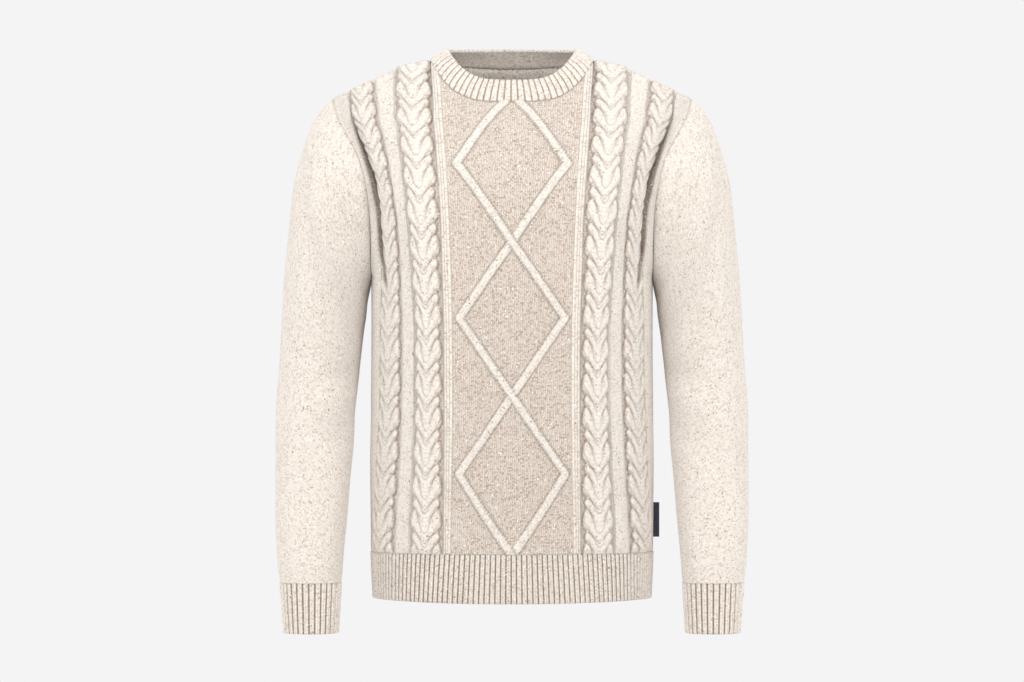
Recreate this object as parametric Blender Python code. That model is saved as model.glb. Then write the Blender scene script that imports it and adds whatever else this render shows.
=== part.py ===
"""A cable-knit crew-neck sweater in the hollow form that it has when worn.

The front has two panels of horseshoe cables on each side of a panel of crossing
diamonds. Body, sleeves, collar, hem and cuffs are separate knitted pieces that meet
at seams. All sizes below are in millimetres, and the meshes are scaled to metres.
The frame has +Z up, the front faces -Y, and the origin is the middle of the neck at
the height of the shoulders' high points.
"""

import math
from collections import namedtuple

import bpy
import numpy as np
from mathutils.geometry import delaunay_2d_cdt

# Driving sizes of the knitted cloth
MM = 0.001
WALL = 2.6
COLLAR_WALL = 2.8
SEAM_HALF_GAP = 0.19
COLLAR_SEAM_GAP = 0.65
HEM_SEAM = -614.0
HEM_EDGE = -672.0
HEM_DIP = 3.4
ARMPIT = -272.0
CUFF_SEAM = -650.5
CUFF_EDGE = -713.5

# How far the body is fuller beside the armholes than its oval is
FRONT_FULLNESS = 9.0
BACK_FULLNESS = 30.0

# Chart of a body panel: u runs across from the middle, v up from the hem seam
HALF_PANEL = 238.0
NECK_POINT = 87.5
STRAIGHT_RISE = ARMPIT - HEM_SEAM
SHAPED_RISE = 288.0
PANEL_RISE = STRAIGHT_RISE + SHAPED_RISE

# Places of the stitch patterns across the chart
CORD = (76.0, 85.0)
INNER_CABLE = (88.0, 125.0)
STRIP = (128.0, 150.5)
OUTER_CABLE = (153.5, 190.5)
SIDE_START = 194.5

# Sizes of the stitch patterns
CABLE_REPEAT = 42.0
CABLE_DIP = 19.0
CABLE_FIRST = 14.8
SECOND_NOTCH = 0.32
CABLE_HEIGHT = 3.6
LANE_FORM = ((0.0, 0.33, 0.7, 1.0), (0.62, 0.95, 1.0, 0.05))
CABLE_LANES = (-1.0, -0.7, -0.33, 0.0, 0.33, 0.7, 1.0)
CABLE_PHASES = (0.0, 0.16, SECOND_NOTCH, 0.55, 0.83)
CORD_HEIGHT = 1.7
STOCKINETTE_HEIGHT = 0.9
GROOVE_DEPTH = 0.6
DIAMOND_SIDE = 67.0
DIAMOND_HEIGHT = 2.3
DIAMOND_TOP = 2.8
DIAMOND_FOOT = 5.4
HEM_RIBS = 75
CUFF_RIBS = 30
COLLAR_RIBS = 72
RIB_HEIGHT = 1.3
LABEL_TOP = -552.0
LABEL_BOTTOM = -596.0
LABEL_THICKNESS = 1.2
LABEL_REACH = 8.0
LABEL_GAP = 0.3

# Colours and surface values of the materials
OAT_YARN = (0.84, 0.75, 0.65, 1.0)
LABEL_CLOTH = (0.03, 0.028, 0.06, 1.0)
YARN_ROUGHNESS = 0.9

# Horizontal sections of the body below the armpits
BodySection = namedtuple("BodySection", "height half_width front_depth back_depth")
BODY = [
    BodySection(-672, 172.5, 90, 88),
    BodySection(-614, 175, 97, 94),
    BodySection(-550, 176, 105, 101),
    BodySection(-480, 176, 113, 107),
    BodySection(-400, 175, 120, 112),
    BodySection(-340, 174.5, 125, 116),
    BodySection(-272, 175, 130, 120),
]

# Distance from the middle of each pattern line of the front, by height
LineRow = namedtuple("LineRow", "height cord cable_in cable_out outer_in outer_out edge")
LINES = [
    LineRow(-672, 75.5, 86.0, 123.5, 145.0, 169.5, 172.5),
    LineRow(-614, 76.0, 87.0, 125.0, 146.5, 171.5, 175),
    LineRow(-500, 74.0, 86.3, 120.5, 140.5, 167.0, 176),
    LineRow(-424, 73.2, 86.0, 118.3, 137.5, 163.5, 175.3),
    LineRow(-340, 73.5, 86.3, 118.0, 136.5, 162.0, 174.5),
    LineRow(-272, 75.0, 88.0, 121.5, 138.0, 160.5, 175),
    LineRow(-205, 77.5, 90.0, 127.0, 142.0, 161.5, 176.4),
    LineRow(-150, 80.0, 93.5, 132.3, 149.5, 168.0, 183),
    LineRow(-121, 81.5, 95.5, 135.3, 154.0, 177.0, 191),
    LineRow(-76, 84.0, 98.5, 141.0, 163.0, 192.0, 215),
]

# Shoulder seam from the neck point outwards, by place across the chart
ShoulderRow = namedtuple("ShoulderRow", "across x y z")
SHOULDER = [
    ShoulderRow(87.5, 101, 2, -1),
    ShoulderRow(125, 146, 4, -12.3),
    ShoulderRow(151, 172, 5, -24.5),
    ShoulderRow(190.5, 204, 7, -40),
    ShoulderRow(238, 224, 8, -48),
]

# Armhole seam from the armpit up to the shoulder point
ArmholeRow = namedtuple("ArmholeRow", "height x front_y back_y")
ARMHOLE = [
    ArmholeRow(-272, 175, 0, 0),
    ArmholeRow(-267, 175, -19, 17),
    ArmholeRow(-254, 175, -33, 30),
    ArmholeRow(-232, 175.3, -42, 40),
    ArmholeRow(-191, 177, -48, 51),
    ArmholeRow(-150, 183, -50, 56),
    ArmholeRow(-121, 191, -46, 53),
    ArmholeRow(-96, 204, -37, 45),
    ArmholeRow(-76, 215, -26, 35),
    ArmholeRow(-59, 221, -9, 24),
    ArmholeRow(-48, 224, 8, 8),
]

# Turning heights of the diamond lines in the chart, and their place as a share of the side
DiamondTurn = namedtuple("DiamondTurn", "rise across")
DIAMONDS = [
    DiamondTurn(-2.0, 0),
    DiamondTurn(100.0, 1),
    DiamondTurn(195.7, 0),
    DiamondTurn(291.0, -1),
    DiamondTurn(393.7, 0),
    DiamondTurn(502.0, 0.955),
    DiamondTurn(645.0, 0),
]

# Deep fold of the front that runs down from the shoulder past the armpit
FoldRow = namedtuple("FoldRow", "height across depth")
ARMHOLE_FOLD = [
    FoldRow(-310, 170, 0),
    FoldRow(-285, 177, 1.2),
    FoldRow(-262, 184, 2.8),
    FoldRow(-225, 190, 4.2),
    FoldRow(-180, 193, 4.2),
    FoldRow(-120, 194, 2.4),
    FoldRow(-75, 195, 1.0),
    FoldRow(-45, 196, 0),
]
FOLD_WIDTH = 9.0

# Columns of the chart with closer points: in the fold, and beside the neck
FOLD_COLUMNS = (165.0, 176.0, 186.0, 194.5, 204.0, 213.0)
NECK_COLUMNS = (71.0, 81.0, 91.0, 101.0)

# Sections of the left sleeve from the armhole to the cuff seam
SleeveRow = namedtuple("SleeveRow", "outer_x outer_z inner_x inner_z centre_y half_depth")
SLEEVE = [
    SleeveRow(-224.0, -48.0, -175.0, -272.0, 3, 51),
    SleeveRow(-243.5, -70.0, -178.3, -287.0, 3, 57),
    SleeveRow(-262.6, -117.8, -181.3, -304.0, 3, 62),
    SleeveRow(-272.5, -164.0, -184.6, -327.0, 2, 64),
    SleeveRow(-280.6, -239.8, -188.0, -358.0, -1, 64),
    SleeveRow(-285.5, -310.0, -191.5, -392.0, -6, 61),
    SleeveRow(-289.5, -375.0, -194.5, -430.0, -12, 56.5),
    SleeveRow(-292.5, -445.0, -198.5, -476.0, -19, 51.5),
    SleeveRow(-293.4, -515.0, -202.5, -527.0, -26, 47),
    SleeveRow(-292.8, -580.0, -207.0, -582.0, -32, 43),
    SleeveRow(-290.5, -625.0, -210.5, -625.0, -36, 40),
    SleeveRow(-286.8, -650.5, -213.0, -650.5, -38, 36),
]
SLEEVE_POINTS = 28

# Soft folds of the sleeves: where, how deep, how long and how wide they are
SleeveFold = namedtuple("SleeveFold", "ring angle depth half_rings half_angle slant")
SLEEVE_FOLDS = [
    SleeveFold(3.2, 62, -3.0, 0.55, 34, 0.020),
    SleeveFold(5.6, 118, -3.4, 0.42, 46, -0.016),
    SleeveFold(6.5, 98, 2.6, 0.40, 40, -0.014),
    SleeveFold(7.3, 122, -3.0, 0.40, 44, -0.012),
    SleeveFold(8.6, 80, -1.8, 0.45, 40, 0.012),
    SleeveFold(5.9, 252, -2.8, 0.45, 42, 0.014),
    SleeveFold(7.1, 236, -2.4, 0.45, 40, 0.012),
]


def clear_scene():
    for obj in list(bpy.data.objects):
        bpy.data.objects.remove(obj, do_unlink=True)


def monotone(knots, values, at):
    """Smooth interpolation through the knots that never overshoots them."""
    knots = np.asarray(knots, float)
    values = np.asarray(values, float)
    at = np.clip(np.asarray(at, float), knots[0], knots[-1])
    step = np.diff(knots)
    slope = np.diff(values) / step
    tangent = np.zeros(len(knots))
    for i in range(1, len(knots) - 1):
        if slope[i - 1] * slope[i] > 0:
            near = 2 * step[i] + step[i - 1]
            far = step[i] + 2 * step[i - 1]
            tangent[i] = (near + far) / (near / slope[i - 1] + far / slope[i])
    tangent[0] = slope[0]
    tangent[-1] = slope[-1]
    i = np.clip(np.searchsorted(knots, at, side="right") - 1, 0, len(step) - 1)
    t = (at - knots[i]) / step[i]
    low = values[i] * (1 + 2 * t) * (1 - t) ** 2 + tangent[i] * step[i] * t * (1 - t) ** 2
    high = values[i + 1] * t * t * (3 - 2 * t) - tangent[i + 1] * step[i] * t * t * (1 - t)
    return low + high


def table(rows, key, value, at):
    knots = [getattr(row, key) for row in rows]
    return monotone(knots, [getattr(row, value) for row in rows], at)


def ease(low, high, at):
    t = np.clip((np.asarray(at, float) - low) / (high - low), 0, 1)
    return t * t * (3 - 2 * t)


def unit(vectors):
    length = np.linalg.norm(vectors, axis=-1, keepdims=True)
    return vectors / np.maximum(length, 1e-9)


def neck_seam(angle):
    """Seam between body and collar: 0 is the front's middle, pi the back's."""
    sine, cosine = np.sin(angle), np.cos(angle)
    front = cosine > 0
    x = 101 * sine
    y = 2 - np.where(front, 74, 76) * cosine
    z = np.where(front, -55 + 54 * np.abs(sine) ** 3.8, -1 - 6 * cosine**2)
    return np.stack([x, y, z], axis=-1)


def neck_edge(angle):
    """Free edge of the collar."""
    sine, cosine = np.sin(angle), np.cos(angle)
    x = 79.5 * sine
    y = 1.5 - 61.5 * cosine
    z = np.where(cosine > 0, -28 + 41 * np.abs(sine) ** 3.6, 13 + 4 * cosine**2)
    return np.stack([x, y, z], axis=-1)


def front_neck_angle(across):
    part = across / NECK_POINT
    return math.pi / 2 * (0.64 * part + 0.36 * part**6)


def back_neck_angle(across):
    return math.pi - math.pi / 2 * across / NECK_POINT


def panel_top(across, back):
    """Top of a panel's wale: on the neck seam, or further out on the shoulder seam."""
    if across <= NECK_POINT:
        angle = back_neck_angle(across) if back else front_neck_angle(across)
        return neck_seam(np.array(angle))
    return np.array([table(SHOULDER, "across", name, across) for name in ("x", "y", "z")])


def armhole_curve(part, back):
    """Armhole seam at parts 0 to 1 of its length, from the armpit to the shoulder."""
    depth = "back_y" if back else "front_y"
    knots = np.array([[row.x, getattr(row, depth), row.height] for row in ARMHOLE], float)
    chord = np.linalg.norm(np.diff(knots, axis=0), axis=1)
    along = np.concatenate([[0], np.cumsum(chord)]) / chord.sum()
    return np.stack([monotone(along, knots[:, axis], part) for axis in range(3)], axis=-1)


def line_stations():
    return np.array([0, CORD[0], INNER_CABLE[0], INNER_CABLE[1], OUTER_CABLE[0],
                     OUTER_CABLE[1], HALF_PANEL])


def line_places(height):
    """How far out each pattern line lies at a height."""
    names = ("cord", "cable_in", "cable_out", "outer_in", "outer_out", "edge")
    return [np.zeros_like(height)] + [table(LINES, "height", n, height) for n in names]


def straight_section(across, height, back):
    """Points of one wale below the armpits, on ovals that shrink towards the hem."""
    half_width = table(BODY, "height", "half_width", height)
    depth = table(BODY, "height", "back_depth" if back else "front_depth", height)
    if back:
        turn = np.full_like(height, math.pi / 2 * across / HALF_PANEL)
    else:
        places = np.array(line_places(height))
        turns = np.arcsin(np.clip(places / half_width, 0, 1))
        turn = np.array([monotone(line_stations(), turns[:, i], across)
                         for i in range(len(height))])
    side = 1 if back else -1
    return np.stack([half_width * np.sin(turn), side * depth * np.cos(turn), height], axis=-1)


def shaped_place(across, part, top, back):
    """How far out a wale lies above the armpits, and where it lies at its top."""
    height = ARMPIT + (top[2] - ARMPIT) * part
    if back:
        start = BODY[-1].half_width * math.sin(math.pi / 2 * across / HALF_PANEL)
        return start + (top[0] - start) * part**1.6
    places = np.array(line_places(np.minimum(height, LINES[-1].height)))
    x = np.array([monotone(line_stations(), places[:, i], across) for i in range(len(height))])
    start = straight_section(across, np.array([ARMPIT]), back)[0, 0]
    return x + (start - x[0]) * (1 - part) ** 6 + (top[0] - x[-1]) * part**4


def shaped_section(across, part, back):
    """Points of one wale above the armpits, where part runs from 0 to 1."""
    inner = min(across, OUTER_CABLE[1])
    top = panel_top(inner, back)
    base = straight_section(inner, np.array([ARMPIT]), back)[0]
    flat = 0.22 if back else 0.33
    bend = 1.5 + 1.3 * (1 - ease(0, 95, inner)) * (0 if back else 1)
    lean = (np.clip(part - flat, 0, 1) / (1 - flat)) ** bend
    swell = BACK_FULLNESS if back else -FRONT_FULLNESS
    start = 0 if back else 60
    swell = swell * ease(start, OUTER_CABLE[1], inner)
    swell = swell * ease(0, 0.3, part) * (1 - ease(0.6, 1, part))
    body = np.stack([
        shaped_place(inner, part, top, back),
        base[1] + (top[1] - base[1]) * lean + swell,
        ARMPIT + (top[2] - ARMPIT) * part,
    ], axis=-1)
    if across <= OUTER_CABLE[1]:
        return body
    share = (across - OUTER_CABLE[1]) / (HALF_PANEL - OUTER_CABLE[1])
    edge = armhole_curve(part, back)
    oval = straight_section(across, np.array([ARMPIT]), back)[0]
    edge_oval = straight_section(HALF_PANEL, np.array([ARMPIT]), back)[0]
    crown = oval - (base * (1 - share) + edge_oval * share)
    keep = 1 - ease(0, 0.4, part)
    seam_top = panel_top(across, back) - (top * (1 - share) + edge[-1] * share)
    points = body * (1 - share) + edge * share + crown * keep[:, None]
    return points + seam_top * (part**8)[:, None]


class Chart:
    """A body panel's middle surface as a grid of points, by u across and v up."""

    def __init__(self, back):
        self.back = back
        self.across = np.concatenate([
            NECK_POINT * np.sin(np.linspace(0, math.pi / 2, 61)[:-1]),
            np.linspace(NECK_POINT, HALF_PANEL, 87)])
        self.rise = np.linspace(0, PANEL_RISE, 211)
        low = self.rise[self.rise <= STRAIGHT_RISE + 1e-6]
        high = (self.rise[self.rise > STRAIGHT_RISE + 1e-6] - STRAIGHT_RISE) / SHAPED_RISE
        columns = []
        fine = np.linspace(0, 1, 240)
        for across in self.across:
            straight = straight_section(across, HEM_SEAM + low, back)
            shaped = shaped_section(across, fine, back)
            length = np.linalg.norm(np.diff(shaped, axis=0), axis=1)
            along = np.concatenate([[0], np.cumsum(length)]) / length.sum()
            upper = np.stack([np.interp(high, along, shaped[:, i]) for i in range(3)], axis=-1)
            columns.append(np.concatenate([straight, upper]))
        half = np.array(columns)
        mirrored = half[:0:-1] * np.array([-1, 1, 1])
        self.grid = np.concatenate([mirrored, half])
        self.columns = np.concatenate([-self.across[:0:-1], self.across])
        self.normals = self.grid_normals()
        if not back:
            self.press_armhole_fold()
            self.normals = self.grid_normals()

    def grid_normals(self):
        across = np.gradient(self.grid, axis=0)
        up = np.gradient(self.grid, axis=1)
        normal = unit(np.cross(across, up))
        return -normal if self.back else normal

    def press_armhole_fold(self):
        middle = len(self.columns) // 2
        steps = np.linalg.norm(np.diff(self.grid[middle:], axis=0), axis=-1)
        half_dent = np.zeros((middle + 1, len(self.rise)))
        fade = 1 - ease(225, 237, self.across)
        for j in range(len(self.rise)):
            height = self.grid[middle:, j, 2]
            if height.max() < ARMHOLE_FOLD[0].height:
                continue
            length = np.concatenate([[0], np.cumsum(steps[:, j])])
            place = table(ARMHOLE_FOLD, "height", "across", height)
            depth = table(ARMHOLE_FOLD, "height", "depth", height)
            offset = (length - np.interp(place, self.across, length)) / FOLD_WIDTH
            half_dent[:, j] = depth * np.exp(-offset**2) * fade
        dent = np.concatenate([half_dent[:0:-1], half_dent])
        self.grid = self.grid - self.normals * dent[:, :, None]

    def sample(self, values, u, v):
        """Value of a grid at places of the chart, between the nearest four points."""
        i = np.interp(u, self.columns, np.arange(len(self.columns)))
        j = np.interp(v, self.rise, np.arange(len(self.rise)))
        i0 = np.minimum(i.astype(int), len(self.columns) - 2)
        j0 = np.minimum(j.astype(int), len(self.rise) - 2)
        a = (i - i0)[..., None]
        b = (j - j0)[..., None]
        low = values[i0, j0] * (1 - a) + values[i0 + 1, j0] * a
        high = values[i0, j0 + 1] * (1 - a) + values[i0 + 1, j0 + 1] * a
        return low * (1 - b) + high * b

    def points(self, u, v):
        return self.sample(self.grid, np.asarray(u, float), np.asarray(v, float))

    def outward(self, u, v):
        return unit(self.sample(self.normals, np.asarray(u, float), np.asarray(v, float)))

    def leaving(self, u, v, du, dv):
        """Direction along the surface that leaves the panel at a place on its edge."""
        inside = self.points([u - 2 * du], [v - 2 * dv])
        return unit(self.points([u], [v]) - inside)[0]


def stockinette_relief(across, rise):
    """Height of plain knitting, which sinks in towards the side and armhole seams."""
    return STOCKINETTE_HEIGHT * (1 - ease(224, HALF_PANEL, np.abs(across)))


def cable_lane(across, cable):
    """0 in the middle of a cable and 1 at its edges."""
    middle = (cable[0] + cable[1]) / 2
    return np.abs(np.abs(across) - middle) / ((cable[1] - cable[0]) / 2)


def cable_phase(rise, lane):
    """Place within one repeat: the grooves run down to the cable's middle."""
    return ((rise + CABLE_DIP * (1 - lane) - CABLE_FIRST) / CABLE_REPEAT) % 1.0


def cable_relief(across, rise, cable):
    lane = cable_lane(across, cable)
    phase = cable_phase(rise, lane)
    long_part = np.clip((phase - SECOND_NOTCH) / (1 - SECOND_NOTCH), 0, 1)
    long_strand = np.sin(math.pi * long_part)
    short_strand = 0.75 * np.sin(math.pi * np.clip(phase / SECOND_NOTCH, 0, 1))
    swell = np.maximum(long_strand, short_strand) ** 0.6
    across_form = np.interp(lane, *LANE_FORM)
    return CABLE_HEIGHT * across_form * (0.32 + 0.68 * swell)


def diamond_distance(across, rise):
    """How far a place lies from the nearer of the two zigzag lines."""
    nearest = np.full(np.shape(across), 1e9)
    for side in (-1, 1):
        for low, high in zip(DIAMONDS[:-1], DIAMONDS[1:]):
            start = np.array([side * low.across * DIAMOND_SIDE, low.rise])
            end = np.array([side * high.across * DIAMOND_SIDE, high.rise])
            along = end - start
            offset = np.stack([across, rise], axis=-1) - start
            share = np.clip(offset @ along / (along @ along), 0, 1)
            gap = np.linalg.norm(offset - share[..., None] * along, axis=-1)
            nearest = np.minimum(nearest, gap)
    return nearest


def front_relief(across, rise):
    """Height of the stitch patterns over the front's middle surface."""
    across = np.asarray(across, float)
    rise = np.asarray(rise, float)
    place = np.abs(across)
    height = DIAMOND_HEIGHT * (1 - ease(DIAMOND_TOP, DIAMOND_FOOT, diamond_distance(across, rise)))
    height = np.where(place < CORD[0] - 1, height, 0.0)
    cord = CORD_HEIGHT * ease(0, 1.6, np.minimum(place - CORD[0], CORD[1] - place) + 0.2)
    height = np.where((place > CORD[0] - 1) & (place < CORD[1] + 1), cord, height)
    for cable in (INNER_CABLE, OUTER_CABLE):
        inside = (place >= cable[0] - 1e-6) & (place <= cable[1] + 1e-6)
        height = np.where(inside, cable_relief(across, rise, cable), height)
    plain = stockinette_relief(across, rise)
    height = np.where((place > STRIP[0] - 0.3) & (place < STRIP[1] + 0.3), plain, height)
    side = plain * ease(SIDE_START - 2, SIDE_START + 12, place)
    height = np.where(place > OUTER_CABLE[1] + 1, side, height)
    for gap in ((INNER_CABLE[1], STRIP[0]), (STRIP[1], OUTER_CABLE[0])):
        middle = (gap[0] + gap[1]) / 2
        height = np.where(np.abs(place - middle) < 0.6, -GROOVE_DEPTH, height)
    return height


def triangulate(points, edges, count):
    """Triangles over a rectangle of chart points that keep the given edges.

    The first count points are its border in order. New points are added where
    edges cross. Returns the chart points and the triangles, border first.
    """
    loop = list(range(count))
    scaled = [(float(u), float(v)) for u, v in points]
    made, _, faces, sources, _, _ = delaunay_2d_cdt(scaled, edges, [loop], 1, 1e-4)
    order = {}
    places = [tuple(p) for p in scaled[:count]]
    for index, source in enumerate(sources):
        border = [s for s in source if s < count]
        if border:
            order[index] = border[0]
        else:
            order[index] = len(places)
            places.append((made[index][0], made[index][1]))
    triangles = []
    for face in faces:
        a, b, c = (order[i] for i in face)
        pa, pb, pc = places[a], places[b], places[c]
        area = (pb[0] - pa[0]) * (pc[1] - pa[1]) - (pb[1] - pa[1]) * (pc[0] - pa[0])
        if abs(area) > 1e-6:
            triangles.append((a, b, c) if area > 0 else (a, c, b))
    return np.array(places), triangles


def drawn_back(points, seams_of_point, gap=SEAM_HALF_GAP):
    """Moves border points to their own side of the seams that they lie on."""
    moved = points.copy()
    for _ in range(3):
        for i, seams in enumerate(seams_of_point):
            for place, towards in seams:
                beyond = (moved[i] - place) @ towards + gap
                if beyond > 0:
                    moved[i] = moved[i] - towards * beyond
    return moved


def ring_faces(count, offset_a, offset_b, closed=True):
    """Quads as triangles between two rows of the same number of points."""
    faces = []
    for i in range(count if closed else count - 1):
        j = (i + 1) % count
        faces.append((offset_a + i, offset_a + j, offset_b + j))
        faces.append((offset_a + i, offset_b + j, offset_b + i))
    return faces


def zipped_faces(fine, coarse, offset_fine, offset_coarse):
    """Triangles between two rows of points whose places run from 0 to 1."""
    faces = []
    i = j = 0
    while i < len(fine) - 1 or j < len(coarse) - 1:
        step_fine = i < len(fine) - 1 and (
            j == len(coarse) - 1 or fine[i + 1] <= coarse[j + 1] + 1e-9)
        if step_fine:
            faces.append((offset_fine + i, offset_fine + i + 1, offset_coarse + j))
            i += 1
        else:
            faces.append((offset_fine + i, offset_coarse + j + 1, offset_coarse + j))
            j += 1
    return faces


def yarn_material(name, colour, roughness):
    material = bpy.data.materials.new(name)
    material.use_nodes = True
    shader = material.node_tree.nodes["Principled BSDF"]
    shader.inputs["Base Color"].default_value = colour
    shader.inputs["Roughness"].default_value = roughness
    shader.inputs["Metallic"].default_value = 0.0
    return material


def add_piece(name, points, faces, material):
    mesh = bpy.data.meshes.new(name)
    scaled = np.asarray(points) * MM
    mesh.from_pydata([tuple(p) for p in scaled], [], [tuple(int(i) for i in f) for f in faces])
    mesh.update()
    mesh.shade_smooth()
    mesh.set_sharp_from_angle(angle=math.radians(26))
    mesh.materials.append(material)
    piece = bpy.data.objects.new(name, mesh)
    bpy.context.scene.collection.objects.link(piece)
    return piece


def sleeve_value(name, ring):
    return monotone(range(len(SLEEVE)), [getattr(row, name) for row in SLEEVE], ring)


def sleeve_oval(ring, angle):
    """Points of the left sleeve's oval sections: angle 0 is on top, 180 degrees below."""
    outer = np.stack([sleeve_value("outer_x", ring), sleeve_value("outer_z", ring)], axis=-1)
    inner = np.stack([sleeve_value("inner_x", ring), sleeve_value("inner_z", ring)], axis=-1)
    middle = (outer + inner) / 2
    reach = (outer - inner) / 2
    plane = middle + reach * np.cos(angle)[..., None]
    y = sleeve_value("centre_y", ring) - sleeve_value("half_depth", ring) * np.sin(angle)
    return np.stack([plane[..., 0], y, plane[..., 1]], axis=-1)


def armhole_angles():
    return np.linspace(0, 2 * math.pi, SLEEVE_POINTS, endpoint=False)


def armhole_rise(angle):
    """Height in the chart at which the sleeve's angle meets the armhole's edge."""
    return STRAIGHT_RISE + SHAPED_RISE * (0.5 + 0.5 * np.cos(angle))


def sleeve_surface(charts, ring, angle):
    """Points of the left sleeve, which starts as the armhole's own outline."""
    ring = np.asarray(ring, float)
    angle = np.asarray(angle, float)
    rise = armhole_rise(angle)
    front = charts["front"].points(np.full(angle.shape, -HALF_PANEL), rise)
    back = charts["back"].points(np.full(angle.shape, -HALF_PANEL), rise)
    outline = np.where((np.sin(angle) >= 0)[..., None], front, back)
    start = sleeve_oval(np.zeros(angle.shape), angle)
    fade = (1 - ease(0, 3.0, ring))[..., None]
    return sleeve_oval(ring, angle) + (outline - start) * fade


def sleeve_fold_depth(ring, angle):
    """Height of the sleeve's soft folds."""
    total = np.zeros(np.broadcast(ring, angle).shape)
    degrees = np.degrees(angle)
    for fold in SLEEVE_FOLDS:
        across = (degrees - fold.angle + 180) % 360 - 180
        along = ring - fold.ring - fold.slant * across
        total += fold.depth * np.exp(-(along / fold.half_rings) ** 2 - (across / fold.half_angle) ** 2)
    return total * ease(0.5, 2.0, ring)


def loop_normals(rings):
    """Outward directions on a grid of closed rings that run down a tube."""
    around = np.roll(rings, -1, axis=1) - np.roll(rings, 1, axis=1)
    down = np.gradient(rings, axis=0)
    normal = unit(np.cross(down, around))
    middle = rings.mean(axis=1, keepdims=True)
    outward = np.sum(normal * (rings - middle), axis=-1, keepdims=True)
    return np.where(np.sum(outward) < 0, -normal, normal)


def seam_towards(own, other):
    """Direction across a seam, from a piece to its neighbour."""
    return unit((own - other)[None])[0]


def left_armhole_seam(charts):
    """Place and cross direction of the armhole seam at each point of the sleeve's ring."""
    seam = []
    for angle in armhole_angles():
        place = sleeve_surface(charts, np.array([0.0]), np.array([angle]))[0]
        further = sleeve_surface(charts, np.array([0.3]), np.array([angle]))[0]
        chart = charts["front"] if math.sin(angle) >= 0 else charts["back"]
        rise = float(armhole_rise(angle))
        from_panel = chart.leaving(-HALF_PANEL, rise, -1.0, 0.0)
        from_sleeve = unit((place - further)[None])[0]
        seam.append((place, seam_towards(from_panel, from_sleeve)))
    return seam


def border_of(chart_name, charts, tops, sides):
    """Places along a panel's border with the seams that each lies on.

    It runs along the hem to the right, up the right side and armhole, along the
    top to the left, and down the left armhole and side.
    """
    back = chart_name == "back"
    chart = charts[chart_name]
    other = charts["front" if back else "back"]
    armhole = left_armhole_seam(charts)
    half = SLEEVE_POINTS // 2
    order = [(-k) % SLEEVE_POINTS for k in range(half + 1)] if back else list(range(half + 1))
    hem_down = np.array([0.0, 0.0, -1.0])
    across_side = np.array([0.0, -1.0 if back else 1.0, 0.0])
    places, seams = [], []

    def put(u, v, *kinds):
        place = chart.points([u], [v])[0]
        mirror = np.array([1.0 if u < 0 else -1.0, 1.0, 1.0])
        found = []
        for kind in kinds:
            if kind == "hem":
                found.append((place, hem_down))
            elif kind == "side":
                found.append((place, across_side))
            elif kind == "shoulder":
                own = chart.leaving(u, v, 0.0, 1.0)
                found.append((place, seam_towards(own, other.leaving(u, v, 0.0, 1.0))))
            elif kind == "neck":
                angle = back_neck_angle(abs(u)) if back else front_neck_angle(abs(u))
                angle = angle * (1 if u >= 0 else -1)
                down = unit((neck_seam(np.array(angle)) - neck_edge(np.array(angle)))[None])[0]
                found.append((place, seam_towards(chart.leaving(u, v, 0.0, 1.0), down)))
            else:
                found.append((place, armhole[kind][1] * mirror))
        places.append((u, v))
        seams.append(found)

    bottoms = tops["bottom"]
    for u in bottoms:
        kinds = ["hem"] + (["side"] if abs(u) == HALF_PANEL else [])
        put(u, 0.0, *kinds)
    for v in sides:
        put(HALF_PANEL, v, "side")
    put(HALF_PANEL, STRAIGHT_RISE, "side", order[half])
    for k in reversed(order[1:half]):
        put(HALF_PANEL, float(armhole_rise(armhole_angles()[k])), k)
    put(HALF_PANEL, PANEL_RISE, "shoulder", order[0])
    for u in reversed(tops["top"]):
        at_point = abs(abs(u) - NECK_POINT) < 1e-6
        if at_point:
            put(u, PANEL_RISE, "shoulder", "neck")
        else:
            put(u, PANEL_RISE, "neck" if abs(u) < NECK_POINT else "shoulder")
    put(-HALF_PANEL, PANEL_RISE, "shoulder", order[0])
    for k in order[1:half]:
        put(-HALF_PANEL, float(armhole_rise(armhole_angles()[k])), k)
    put(-HALF_PANEL, STRAIGHT_RISE, "side", order[half])
    for v in reversed(sides):
        put(-HALF_PANEL, v, "side")
    return places, seams


def panel_piece(name, chart, border, seams, outer_points, outer_edges, inner_points, relief, material):
    """One body panel: a patterned outer face over a plain inner one, with a rim."""
    count = len(border)
    outer_uv, outer_faces = triangulate(list(border) + outer_points, outer_edges, count)
    inner_uv, inner_faces = triangulate(list(border) + inner_points, [], count)
    u, v = outer_uv[:, 0], outer_uv[:, 1]
    outer = chart.points(u, v) + chart.outward(u, v) * relief(u, v)[:, None]
    u, v = inner_uv[:, 0], inner_uv[:, 1]
    inner = chart.points(u, v) - chart.outward(u, v) * WALL
    outer[:count] = drawn_back(outer[:count], seams)
    inner[:count] = drawn_back(inner[:count], seams)
    shift = len(outer)
    faces = list(outer_faces)
    faces += [(a + shift, c + shift, b + shift) for a, b, c in inner_faces]
    faces += [(b, a, c) for a, b, c in ring_faces(count, 0, shift)]
    if chart.back:
        faces = [(a, c, b) for a, b, c in faces]
    return add_piece(name, np.concatenate([outer, inner]), faces, material)


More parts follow.
